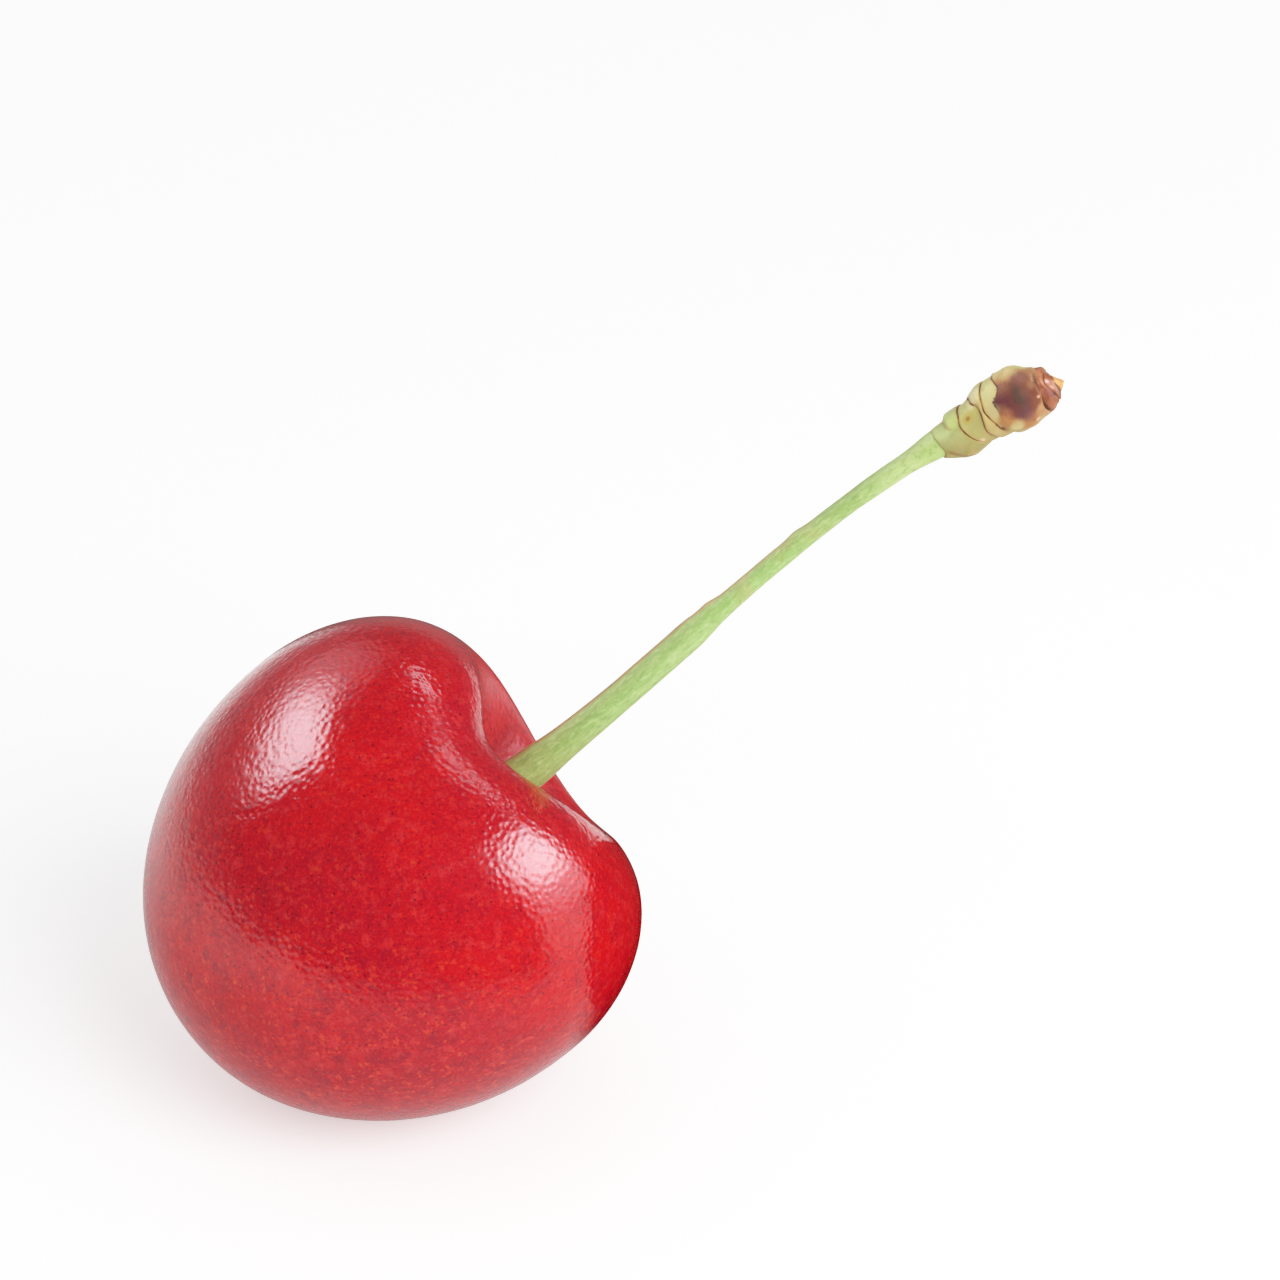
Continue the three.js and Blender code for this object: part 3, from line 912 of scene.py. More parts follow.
@dataclass(frozen=True)
class TornSkin:
    """Dry red-brown scale, torn and folded, darker between the folds."""

    red: Colour = (0.230, 0.064, 0.024)
    pale: Colour = (0.370, 0.145, 0.062)
    dark: Colour = (0.060, 0.018, 0.008)
    marks: tuple[Mark, ...] = (
        Mark((1.00, 0.20, 6.12), 0.36, 0.70, (0.400, 0.150, 0.062), 0.7),
        # Painted highlights: a pinkish sheen with two glints on the roll, and a light spot beside
        # them.
        Mark((0.42, 0.60, 6.40), 0.30, 0.75, (0.430, 0.185, 0.120), 0.6),
        Mark((0.57, 0.54, 6.35), 0.11, 0.90, (0.760, 0.480, 0.420), 0.6),
        Mark((0.26, 0.63, 6.46), 0.08, 0.75, (0.620, 0.300, 0.230), 0.7),
        Mark((0.60, 0.66, 6.22), 0.10, 0.80, (0.500, 0.240, 0.160)),
        Mark((-0.20, 0.62, 6.55), 0.22, 0.75, (0.190, 0.080, 0.045)),
        # A darker middle in the painted glint.
        Mark((0.46, 0.58, 6.38), 0.06, 0.60, (0.330, 0.170, 0.140), 0.7),
        Mark((0.60, 0.02, 6.45), 0.14, 0.75, (0.120, 0.060, 0.018), 0.7),
        Mark((0.10, 1.10, 6.08), 0.42, 0.90, (0.165, 0.045, 0.020), 0.7),
        Mark((-0.50, 0.94, 6.12), 0.26, 0.75, (0.310, 0.105, 0.036)),
        Mark((-0.30, 0.98, 6.20), 0.24, 0.65, (0.220, 0.070, 0.036)),
        # Painted highlight: a light ridge beside the groove.
        Mark((0.80, 0.70, 6.09), 0.14, 0.35, (0.500, 0.240, 0.150)),
        Mark((-0.80, 0.55, 6.30), 0.22, 0.70, (0.150, 0.080, 0.018), 0.6),
        Mark((0.12, 0.97, 6.34), 0.18, 0.70, (0.150, 0.040, 0.026), 0.7),
        Mark((-0.08, 0.83, 6.42), 0.11, 0.95, (0.050, 0.012, 0.012), 0.6),
        Mark((-0.68, 0.98, 5.80), 0.12, 0.85, (0.120, 0.050, 0.010), 0.6),
        Mark((0.92, 0.05, 6.27), 0.08, 0.80, (0.100, 0.032, 0.010), 0.6),
    )
    wedge: Colour = (0.600, 0.275, 0.095)
    lip_at: float = 5.90

    def material(self) -> bpy.types.Material:
        """Builds the material.

        Returns:
            The material.
        """
        recipe = Recipe.material("torn_skin")
        own = recipe.kept(OWN_PLACE, vector=True)
        edge = recipe.kept(EDGE_LINE)
        fine = recipe.cloud(own, 3.0, 4.0, 0.65)
        skin = recipe.mix(fine.smooth(0.42, 0.70), self.red, self.pale)
        skin = recipe.marked(own, fine, self.marks, skin)
        level = recipe.kept(RING_LEVEL)
        skin = recipe.mix(level.smooth(1.98, 2.04) * (0.75 + 0.3 * fine), skin, self.wedge)
        torn = recipe.cloud(own, 3.0, 2.0).smooth(0.40, 0.58)
        skin = recipe.mix(edge.smooth(0.50, 0.85) * (0.25 + 0.7 * torn), skin, self.dark)
        # Painted shade: the part of the tip tucked inside the lip is darkened.
        inside = recipe.along(own, UP).smooth(self.lip_at + 0.04, self.lip_at - 0.06)
        skin = recipe.mix(inside * 0.8, skin, self.dark)
        return recipe.finish(
            {
                "Base Color": skin,
                "Roughness": 0.30 + 0.25 * fine,
                "IOR": 1.40,
                "Normal": recipe.relief(0.05 * fine),
            }
        )


# ---- Pieces --------------------------------------------------------------------------------


class Piece:
    """What the pieces of the cherry share."""

    name: ClassVar[str]
    solid: ClassVar[Solid]
    slot: ClassVar[Slot]

    def finish(self, body: bmesh.types.BMesh) -> bpy.types.Object:
        """Turns a body in millimetres into an object that stands for its solid.

        Args:
            body: The body, which is used up.

        Returns:
            The object.
        """
        piece = as_object(body, self.name)
        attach(piece, "root")
        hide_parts(self.solid.value)
        return piece

    @staticmethod
    def dress(piece: bpy.types.Object, material: bpy.types.Material) -> None:
        """Gives a piece its material."""
        piece.data.materials.append(material)

    @staticmethod
    def report(piece: bpy.types.Object) -> None:
        """Logs a piece's name and the number of its triangles."""
        triangles = sum(len(face.vertices) - 2 for face in piece.data.polygons)
        log.info("%s: %d triangles", piece.name, triangles)


@dataclass
class Fruit(Piece):
    """The fruit: a heart-shaped body with a deep bowl where the stalk stands."""

    name: ClassVar[str] = "cherry_fruit"
    solid: ClassVar[Solid] = Solid.FRUIT
    slot: ClassVar[Slot] = Slot.FRUIT_SKIN

    radius: float = 13.0
    belt_height: float = 1.6
    bottom_height: float = -13.4
    crest_radius: float = 6.1
    crest_height: float = 10.6
    floor_height: float = 5.5
    seam_notch_depth: float = 1.6
    seam_notch_near_width: float = 31.0
    seam_notch_far_width: float = 44.0
    back_notch_depth: float = 1.4
    back_notch_width: float = 52.0
    notch_from: float = 1.0
    notch_to: float = 9.5
    notch_inner_radius: float = 4.0
    seam_flattening: float = 0.10
    groove_depth: float = 0.22
    groove_width: float = 13.0
    groove_reach: float = 6.0
    groove_inner_radius: float = 5.0
    centre: Point = (0.6, 0.2, 12.4)
    turn: float = 216.0
    tip: float = 53.5
    swing: float = 16.0
    swell: float = 0.05
    swell_length: float = 7.0
    hammer: float = 0.010
    hammer_length: float = 1.4
    lower_rows: int = 84
    upper_rows: int = 48
    bowl_rows: int = 44
    steps: int = 300

    def placement(self) -> Matrix:
        """Lays the fruit down: turned, tipped, swung, then moved.

        Returns:
            The matrix that does it.
        """
        return (
            Matrix.Translation(self.centre)
            @ Matrix.Rotation(math.radians(self.swing), 4, "Z")
            @ Matrix.Rotation(math.radians(self.tip), 4, "Y")
            @ Matrix.Rotation(math.radians(self.turn), 4, "Z")
        )

    def profile(self) -> list[tuple[float, float]]:
        """Half the outline, as (radius, height) pairs.

        Returns:
            A quarter ellipse up to the belt, another up to the crest, and the bowl.
        """
        pairs = []
        for row in range(self.lower_rows + 1):
            angle = math.pi / 2 * row / self.lower_rows
            depth = (self.belt_height - self.bottom_height) * math.cos(angle)
            pairs.append((self.radius * math.sin(angle), self.belt_height - depth))
        for row in range(1, self.upper_rows + 1):
            angle = math.pi / 2 * row / self.upper_rows
            out = self.crest_radius + (self.radius - self.crest_radius) * math.cos(angle)
            up = (self.crest_height - self.belt_height) * math.sin(angle)
            pairs.append((out, self.belt_height + up))
        for row in range(self.bowl_rows - 1, -1, -1):
            share = row / self.bowl_rows
            climb = (1.0 - math.cos(math.pi * share)) / 2.0
            depth = (self.crest_height - self.floor_height) * climb
            pairs.append((self.crest_radius * share, self.floor_height + depth))
        return pairs

    def shape(self, point: Vector) -> Vector:
        """Dips the rim at the seam and behind it, and flattens and grooves the seam side.

        Args:
            point: A point of the turned body.

        Returns:
            Where it goes.
        """
        out = math.hypot(point.x, point.y)
        angle = math.atan2(point.y, point.x)
        near_width = math.radians(self.seam_notch_near_width)
        far_width = math.radians(self.seam_notch_far_width)
        at_seam = self.seam_notch_depth * hump(angle, 0.0, near_width if angle < 0 else far_width)
        behind = self.back_notch_depth * hump(angle, math.pi, math.radians(self.back_notch_width))
        near_rim = rise(point.z, self.notch_from, self.notch_to)
        near_rim *= rise(out, 0.0, self.notch_inner_radius)
        flattened = self.seam_flattening * max(math.cos(angle), 0.0) ** 2
        on_side = rise(point.z, self.bottom_height, self.bottom_height + self.groove_reach)
        on_side *= rise(out, 0.0, self.groove_inner_radius)
        groove = self.groove_depth * hump(angle, 0.0, math.radians(self.groove_width)) * on_side
        radius = out * (1.0 - flattened) - groove
        height = point.z - (at_seam + behind) * near_rim
        return Vector((radius * math.cos(angle), radius * math.sin(angle), height))

    def hammered(self, body: bmesh.types.BMesh) -> None:
        """Gives the skin its slow swells and its faint hammered look.

        Args:
            body: The fruit's body.
        """
        body.normal_update()
        lifts = []
        for vert in body.verts:
            slow = noise.noise(vert.co / self.swell_length)
            quick = noise.noise(vert.co / self.hammer_length)
            lifts.append(vert.normal * (self.swell * slow + self.hammer * quick))
        for vert, lift in zip(body.verts, lifts):
            vert.co += lift

    def cut_flat(self, body: bmesh.types.BMesh) -> None:
        """Cuts off what would be below the ground, and closes the cut with one flat face.

        Args:
            body: The fruit's body, as it lies.
        """
        geometry = [*body.verts, *body.edges, *body.faces]
        cut = bmesh.ops.bisect_plane(
            body, geom=geometry, plane_co=(0, 0, 0), plane_no=(0, 0, -1), clear_outer=True
        )
        rim = [part for part in cut["geom_cut"] if isinstance(part, bmesh.types.BMEdge)]
        bmesh.ops.holes_fill(body, edges=rim, sides=0)
        for edge in rim:
            edge.smooth = False

    def build(self) -> bpy.types.Object:
        """Builds the fruit.

        Returns:
            Its object.
        """
        body = turned(self.profile(), self.steps)
        reshape(body, self.shape)
        self.hammered(body)
        remember_place(body)
        bmesh.ops.transform(body, matrix=self.placement(), verts=body.verts)
        self.cut_flat(body)
        return self.finish(body)


@dataclass
class StalkLine:
    """The line that the stalk and its knob follow, read by distance from its foot."""

    foot: Vector
    low_handle: Vector = field(default_factory=lambda: Vector((15.2, 3.5, 22.2)))
    high_handle: Vector = field(default_factory=lambda: Vector((22.1, 6.5, 31.8)))
    end: Vector = field(default_factory=lambda: Vector((34.8, 5.7, 38.4)))
    knob_length: float = 6.8
    seam_slant: float = 0.42
    seam_reach: float = 1.0
    samples: int = 1200
    points: list[Vector] = field(init=False, repr=False)
    distances: list[float] = field(init=False, repr=False)

    def __post_init__(self) -> None:
        """Measures the line once."""
        ends = (self.foot, self.low_handle, self.high_handle, self.end)
        self.points = interpolate_bezier(*ends, self.samples)
        self.distances = [0.0]
        for before, after in zip(self.points, self.points[1:]):
            self.distances.append(self.distances[-1] + (after - before).length)

    @property
    def length(self) -> float:
        """The whole line's length."""
        return self.distances[-1]

    @property
    def stalk_length(self) -> float:
        """The distance from the foot to the seam under the knob."""
        return self.length - self.knob_length

    def read(self, distance: float) -> tuple[Vector, Vector]:
        """Reads the line.

        Args:
            distance: How far along it, in millimetres.

        Returns:
            The point there and the direction ahead.
        """
        after = min(max(bisect.bisect_left(self.distances, distance), 1), self.samples - 1)
        before = after - 1
        step = self.distances[after] - self.distances[before]
        share = (distance - self.distances[before]) / step
        point = self.points[before].lerp(self.points[after], share)
        steps = (before + share) / (self.samples - 1)
        back = 1.0 - steps
        ahead = back * back * (self.low_handle - self.foot)
        ahead += 2.0 * back * steps * (self.high_handle - self.low_handle)
        ahead += steps * steps * (self.end - self.high_handle)
        return point, ahead.normalized()

    def bend(self, point: Vector) -> Vector:
        """Bends a point of a straight body onto the line.

        Args:
            point: Z is the distance along the line and X its upper side.

        Returns:
            Where it goes.
        """
        from_seam = (point.z - self.stalk_length) / self.seam_reach
        distance = point.z - self.seam_slant * point.x * math.exp(-from_seam * from_seam)
        on_line = min(max(distance, 0.0), self.length)
        middle, ahead = self.read(on_line)
        sideways = ahead.cross(Vector(UP)).normalized()
        over = sideways.cross(ahead)
        return middle + ahead * (distance - on_line) + over * point.x + sideways * point.y


@dataclass
class Stalk(Piece):
    """The stalk: swollen at its foot, slender, and flared again under the knob."""

    name: ClassVar[str] = "cherry_stalk"
    solid: ClassVar[Solid] = Solid.STALK
    slot: ClassVar[Slot] = Slot.GREEN_STALK

    line: StalkLine
    outline: Outline = (
        (0.0, 1.36), (0.6, 1.26), (2.0, 1.17), (3.5, 1.10), (4.8, 1.04), (5.6, 0.96),
        (6.5, 0.885), (8.0, 0.832), (10.0, 0.792), (12.0, 0.772), (14.0, 0.778), (15.4, 0.768),
        (16.2, 0.695), (17.0, 0.605), (18.0, 0.555), (19.5, 0.535), (21.5, 0.525), (23.0, 0.51),
        (25.5, 0.495), (26.4, 0.505), (27.2, 0.535), (28.5, 0.550),
    )
    top_radius: float = 0.77
    top_reach: float = 2.6
    top_overrun: float = 0.3
    ribs: int = 5
    rib_height: float = 0.014
    rib_twist: float = 0.09
    unevenness: float = 0.030
    uneven_length: float = 2.6
    uneven_squeeze: float = 0.8
    into_knob: float = 0.5
    # Low knots: each one's distance from the foot, its side in degrees, and its height.
    knots: tuple[tuple[float, float, float], ...] = ((17.0, -30.0, 0.11), (22.9, -25.0, 0.09))
    knot_length: float = 0.55
    knot_width: float = 0.9
    # The foot's rounded end: (share of its radius, height), then where its side starts.
    foot_edge: tuple[float, float] = (0.7, 0.06)
    side_start: float = 0.3
    rows: int = 340
    steps: int = 48

    def radius_at(self, distance: float) -> float:
        """Reads the stalk's radius.

        Args:
            distance: How far from its foot, in millimetres.

        Returns:
            The radius there.
        """
        radius = read_smooth(self.outline, distance)
        to_seam = distance - self.line.stalk_length
        flare = rise(to_seam, -self.top_reach, self.top_overrun)
        return radius + (self.top_radius - radius) * flare

    def shape(self, point: Vector) -> Vector:
        """Adds low ribs and a gentle unevenness.

        Args:
            point: A point of the straight stalk.

        Returns:
            Where it goes.
        """
        out = math.hypot(point.x, point.y)
        if out == 0.0:
            return point.copy()
        angle = math.atan2(point.y, point.x)
        rib = self.rib_height * math.cos(self.ribs * angle + self.rib_twist * point.z)
        place = Vector((self.uneven_squeeze * point.x, self.uneven_squeeze * point.y, point.z))
        slow = self.unevenness * noise.noise(place / self.uneven_length)
        knots = sum(
            height
            * math.exp(-(((point.z - at) / self.knot_length) ** 2))
            * hump(angle, math.radians(side), self.knot_width)
            for at, side, height in self.knots
        )
        grown = 1.0 + (rib + slow + knots) / self.radius_at(point.z)
        return Vector((point.x * grown, point.y * grown, point.z))

    def build(self) -> bpy.types.Object:
        """Builds the stalk.

        Returns:
            Its object.
        """
        end = self.line.stalk_length + self.into_knob
        share, height = self.foot_edge
        profile = [(0.0, 0.0), (share * self.radius_at(0.0), height)]
        for row in range(self.rows + 1):
            distance = self.side_start + (end - self.side_start) * row / self.rows
            profile.append((self.radius_at(distance), distance))
        profile.append((0.0, end))
        body = turned(profile, self.steps)
        reshape(body, self.shape)
        remember_place(body)
        reshape(body, self.line.bend)
        return self.finish(body)


@dataclass(frozen=True)
class Ring:
    """One ring of scales, from its own free edge to the next one.

    The edge is (angle, distance from the seam) pairs round the knob. The radii of its upper,
    near, lower and far side are spaced evenly from its edge to the next.
    """

    edge: Outline
    upper: tuple[float, ...]
    near: tuple[float, ...]
    lower: tuple[float, ...]
    far: tuple[float, ...]
    darkness: float = 1.0

    def radius(self, share: float, angle: float) -> float:
        """How far out the ring stands.

        Args:
            share: How far it is from the ring's edge to the next, from 0 to 1.
            angle: Where it is round the knob, in radians.

        Returns:
            The radius there.
        """
        up, near = math.cos(angle), math.sin(angle)
        sides = ((self.upper, up), (self.near, near), (self.lower, -up), (self.far, -near))
        total = 0.0
        for radii, facing in sides:
            if facing > 0.0:
                last = len(radii) - 1
                spaced = tuple((number / last, value) for number, value in enumerate(radii))
                total += facing * facing * read_smooth(spaced, share)
        return total


@dataclass(frozen=True)
class Flap:
    """A scale's edge that runs only part of the way round one ring, and dies out at its ends."""

    ring: int
    edge: Outline
    height: Outline
    darkness: float = 1.0
    run: tuple[float, float] = (-0.03, 0.05)
    marks_scar: bool = False


@dataclass(frozen=True)
class Surface:
    """Where a vertex of the rings goes, and what its colour follows."""

    radius: float
    distance: float
    level: float
    line: float = 0.0
    scarred: float = 0.0


@dataclass
class Knob:
    """What the bud scales and the torn tip share: the bent middle line of the knob."""

    line: StalkLine
    arch: float = 0.1
    sway: float = 0.13

    def bend(self, point: Vector) -> Vector:
        """Bends a point of the straight knob into place.

        Args:
            point: Z is the distance from the seam and X the upper side.

        Returns:
            Where it goes.
        """
        share = min(max(point.z / self.line.knob_length, 0.0), 1.0)
        off = self.arch * math.sin(math.pi * share) - self.sway * math.sin(math.tau * share)
        return self.line.bend(point + Vector((off, 0.0, self.line.stalk_length)))


@dataclass
class Layers(Piece):
    """What the bud scales and the torn tip share: rings that step out or in at their edges."""

    knob: Knob
    rings: ClassVar[tuple[Ring, ...]]
    flaps: ClassVar[tuple[Flap, ...]]
    end: ClassVar[Outline]
    rim: ClassVar[Outline] = ()
    start_depth: ClassVar[float]
    end_depth: ClassVar[float]
    roughness: ClassVar[Outline]
    # Rows lie this far from each edge, and evenly between the insets.
    edge_rows: tuple[float, ...] = (0.006, 0.022, 0.042, 0.07, 0.11, 0.16)
    inset: float = 0.22
    narrowest: float = 0.3
    row_spacing: float = 0.03
    measured_at: tuple[float, ...] = (0.0, 1.5, 3.0, 4.5)
    # Each edge has a groove, and a line for the colours to follow.
    groove: float = 0.035
    groove_width: float = 0.045
    line_reach: float = 0.15
    # A flap counts as whole from this height; on the scar's side its line reaches less far.
    full_flap: float = 0.04
    past_flaps: float = 9.0
    scar_side_reach: float = 0.35
    scar_blend: tuple[float, float, float] = (-0.02, 0.03, 0.22)
    edge_unevenness: float = 0.035
    unevenness_scale: float = 2.2
    unevenness_shift: float = 5.0
    drum_radius: float = 1.0
    steps: int = 160

    def edge_at(self, number: int, angle: float) -> float:
        """How far from the seam a ring's edge is.

        Args:
            number: The ring, or one more than the last for the end.
            angle: Where it is round the knob, in radians.

        Returns:
            The distance.
        """
        edge = self.rings[number].edge if number < len(self.rings) else self.end
        across = self.unevenness_scale * math.cos(angle)
        sideways = self.unevenness_scale * math.sin(angle)
        waver = noise.noise(Vector((across, sideways, self.unevenness_shift * number)))
        return read_smooth(edge, math.degrees(angle), 360.0) + self.edge_unevenness * waver

    def rows(self) -> list[tuple[int, float, float]]:
        """Lists the rows of vertices.

        Returns:
            Each row's ring, its share of the way between the ring's insets, and its offset
            from there.
        """
        listed = []
        for number in range(len(self.rings)):
            lengths = [
                self.edge_at(number + 1, angle) - self.edge_at(number, angle)
                for angle in self.measured_at
            ]
            between = max(round((max(lengths) - 2.0 * self.inset) / self.row_spacing), 2)
            listed += [(number, 0.0, past - self.inset) for past in self.edge_rows]
            listed += [(number, row / between, 0.0) for row in range(between + 1)]
            listed += [(number, 1.0, self.inset - past) for past in reversed(self.edge_rows)]
        return listed

    def flapped(
        self, number: int, distance: float, angle: float
    ) -> tuple[float, float, float]:
        """What the flaps of a ring add.

        Args:
            number: The ring.
            distance: The distance from the seam.
            angle: Where it is round the knob, in radians.

        Returns:
            The lift, the strength of the edge line, and the share by which it is past a flap
            that borders the scar.
        """
        degrees = (math.degrees(angle) + 180.0) % 360.0 - 180.0
        lift, line, scarred = 0.0, 0.0, 0.0
        for flap in self.flaps:
            if flap.ring != number:
                continue
            past = distance - read_smooth(flap.edge, degrees)
            height = read_smooth(flap.height, degrees)
            lift += height * rise(past, *flap.run)
            whole = rise(height, 0.0, self.full_flap)
            on_scar = flap.marks_scar and past < 0.0
            reach = self.line_reach * (self.scar_side_reach if on_scar else 1.0)
            line = max(line, whole * flap.darkness * math.exp(-abs(past) / reach))
            if flap.marks_scar:
                low, high, widening = self.scar_blend
                scarred = rise(past, low, high + widening * (1.0 - whole))
        return lift, line, scarred

    def on_ring(self, number: int, share: float, offset: float, angle: float) -> Surface:
        """Finds the surface of a ring.

        Args:
            number: The ring.
            share: The share of the way between the ring's insets.
            offset: How far past that it is, in millimetres.
            angle: Where it is round the knob, in radians.

        Returns:
            The surface there.
        """
        ring, last = self.rings[number], len(self.rings) - 1
        start, end = self.edge_at(number, angle), self.edge_at(number + 1, angle)
        inset = min(self.inset, self.narrowest * (end - start))
        distance = start + inset + share * (end - start - 2.0 * inset)
        distance += offset * inset / self.inset
        share = (distance - start) / (end - start)
        lift, line, scarred = self.flapped(number, distance, angle)
        after = self.rings[number + 1].darkness if number < last else 0.0
        for past, darkness in ((distance - start, ring.darkness), (end - distance, after)):
            lift -= self.groove * math.exp(-((past / self.groove_width) ** 2))
            line = max(line, darkness * math.exp(-past / self.line_reach))
        return Surface(ring.radius(share, angle) + lift, distance, number + share, line, scarred)

    def on_rim(self, inwards: float, onwards: float, angle: float) -> Surface:
        """Finds the surface of the rim, where the last ring turns in.

        Args:
            inwards: How far inside the last ring's end it is.
            onwards: How far past that end it is.
            angle: Where it is round the knob, in radians.

        Returns:
            The surface there.
        """
        last = len(self.rings) - 1
        end = self.edge_at(last + 1, angle)
        lift, _, _ = self.flapped(last, self.past_flaps, angle)
        radius = self.rings[last].radius(1.0, angle) + lift - inwards
        return Surface(radius, end + onwards, float(last + 1), scarred=1.0)

    def build(self) -> bpy.types.Object:
        """Builds the rings.

        Returns:
            Their object.
        """
        rows = self.rows()
        count = len(rows) + len(self.rim)
        drum = [(self.drum_radius, float(row)) for row in range(count)]
        body = turned([(0.0, -1.0), *drum, (0.0, float(count))], self.steps)
        lines = body.verts.layers.float.new(EDGE_LINE)
        levels = body.verts.layers.float.new(RING_LEVEL)
        scars = body.verts.layers.float.new(PAST_FLAP)
        for vert in body.verts:
            row = round(vert.co.z)
            angle = math.atan2(vert.co.y, vert.co.x)
            if vert.co.to_2d().length < self.drum_radius / 2:
                vert.co = Vector((0.0, 0.0, self.start_depth if row < 0 else self.end_depth))
                vert[levels] = 0.0 if row < 0 else float(len(self.rings))
                continue
            if row < len(rows):
                spot = self.on_ring(*rows[row], angle)
            else:
                spot = self.on_rim(*self.rim[row - len(rows)], angle)
            vert[lines], vert[levels], vert[scars] = spot.line, spot.level, spot.scarred
            out = Vector((math.cos(angle), math.sin(angle), 0.0))
            place = out * spot.radius + Vector((0.0, 0.0, spot.distance))
            rough = sum(size * noise.noise(place / length) for length, size in self.roughness)
            vert.co = place + out * rough
        remember_place(body)
        reshape(body, self.settle)
        reshape(body, self.knob.bend)
        return self.finish(body)

    def settle(self, point: Vector) -> Vector:
        """Moves a point of the straight body off its middle line."""
        return point


@dataclass
class BudScales(Layers):
    """The knob's pale rings of old bud scales, each stepping out at its free edge."""

    name: ClassVar[str] = "cherry_bud_scales"
    solid: ClassVar[Solid] = Solid.BUD_SCALES
    slot: ClassVar[Slot] = Slot.PALE_SCALES

    rings: ClassVar[tuple[Ring, ...]] = (
        Ring(
            (
                (16, 0.15), (52, 0.12), (78, 0.04), (100, -0.08), (125, -0.32), (150, -0.54),
                (180, -0.60), (210, -0.48), (270, 0.05), (340, 0.12),
            ),
            (0.80, 0.84, 0.89, 0.91, 0.92),
            (0.86, 1.08, 1.21, 1.29, 1.28),
            (0.79, 1.12, 1.34, 1.41, 1.44, 1.41, 1.35, 1.26, 1.16),
            (0.90, 1.08, 1.20, 1.26, 1.26),
            0.85,
        ),
        Ring(
            (
                (2, 1.60), (26, 1.55), (43, 1.48), (66, 1.48), (90, 1.66), (108, 1.91),
                (121, 2.12), (150, 2.45), (180, 2.50), (230, 2.30), (290, 1.90), (330, 1.68),
            ),
            (1.13, 1.16, 1.20, 1.26, 1.34),
            (1.33, 1.33, 1.32, 1.32, 1.34),
            (1.21, 1.22, 1.22, 1.22, 1.24),
            (1.28, 1.28, 1.29, 1.31, 1.32),
        ),
        Ring(
            (
                (-1, 2.34), (20, 2.42), (34, 2.66), (52, 2.72), (72, 2.62), (91, 2.55),
                (112, 2.67), (125, 2.76), (150, 2.95), (180, 3.0), (250, 2.7), (330, 2.16),
            ),
            (1.36, 1.50, 1.63, 1.67, 1.63),
            (1.44, 1.48, 1.49, 1.48, 1.46),
            (1.34, 1.38, 1.41, 1.44, 1.49),
            (1.40, 1.49, 1.56, 1.58, 1.56),
        ),
        Ring(
            (
                (-19, 3.32), (14, 3.13), (37, 2.99), (57, 2.95), (75, 3.05), (90, 3.19),
                (106, 3.25), (122, 3.47), (132, 3.66), (160, 3.85), (200, 3.85), (280, 3.6),
            ),
            (1.63, 1.61, 1.53, 1.52, 1.40, 1.13, 0.99),
            (1.53, 1.63, 1.68, 1.66, 1.54, 1.34, 1.17),
            (1.68, 1.73, 1.72, 1.71, 1.60, 1.52, 1.40),
            (1.57, 1.60, 1.60, 1.60, 1.44, 1.22, 1.08),
        ),
    )
    flaps: ClassVar[tuple[Flap, ...]] = (
        Flap(
            0,
            ((-60, 0.85), (0, 0.80), (12, 0.84), (30, 0.87), (42, 0.94), (60, 1.20)),
            ((-80, 0.0), (-40, 0.23), (12, 0.23), (35, 0.11), (54, 0.0)),
            0.75,
            (-0.15, 0.18),
        ),
        Flap(
            3,
            (
                (-40, 3.88), (-3, 3.87), (19, 3.98), (32, 4.06), (39, 3.96), (47, 3.80),
                (53, 3.61), (66, 3.62), (83, 3.55), (98, 3.56), (112, 3.65), (122, 3.82),
                (145, 4.10),
            ),
            ((-55, 0.0), (-20, 0.09), (10, 0.09), (52, 0.08), (68, 0.03), (120, 0.02), (145, 0.0)),
            1.0,
            marks_scar=True,
        ),
        Flap(
            3,
            ((-40, 4.62), (0, 4.56), (17, 4.44), (30, 4.25)),
            ((-45, 0.0), (-20, 0.022), (10, 0.022), (26, 0.0)),
            0.8,
        ),
    )
    end: ClassVar[Outline] = (
        (0, 5.93), (45, 5.91), (74, 5.88), (94, 5.80), (115, 5.68), (140, 5.70), (160, 5.85),
        (180, 5.92), (230, 5.85), (300, 5.80),
    )
    rim: ClassVar[Outline] = (
        (0.03, 0.035), (0.08, 0.045), (0.13, 0.02), (0.16, -0.06), (0.20, -0.35),
    )
    start_depth: ClassVar[float] = 0.30
    end_depth: ClassVar[float] = 5.30
    roughness: ClassVar[Outline] = ((1.1, 0.045), (0.35, 0.016), (0.14, 0.006))


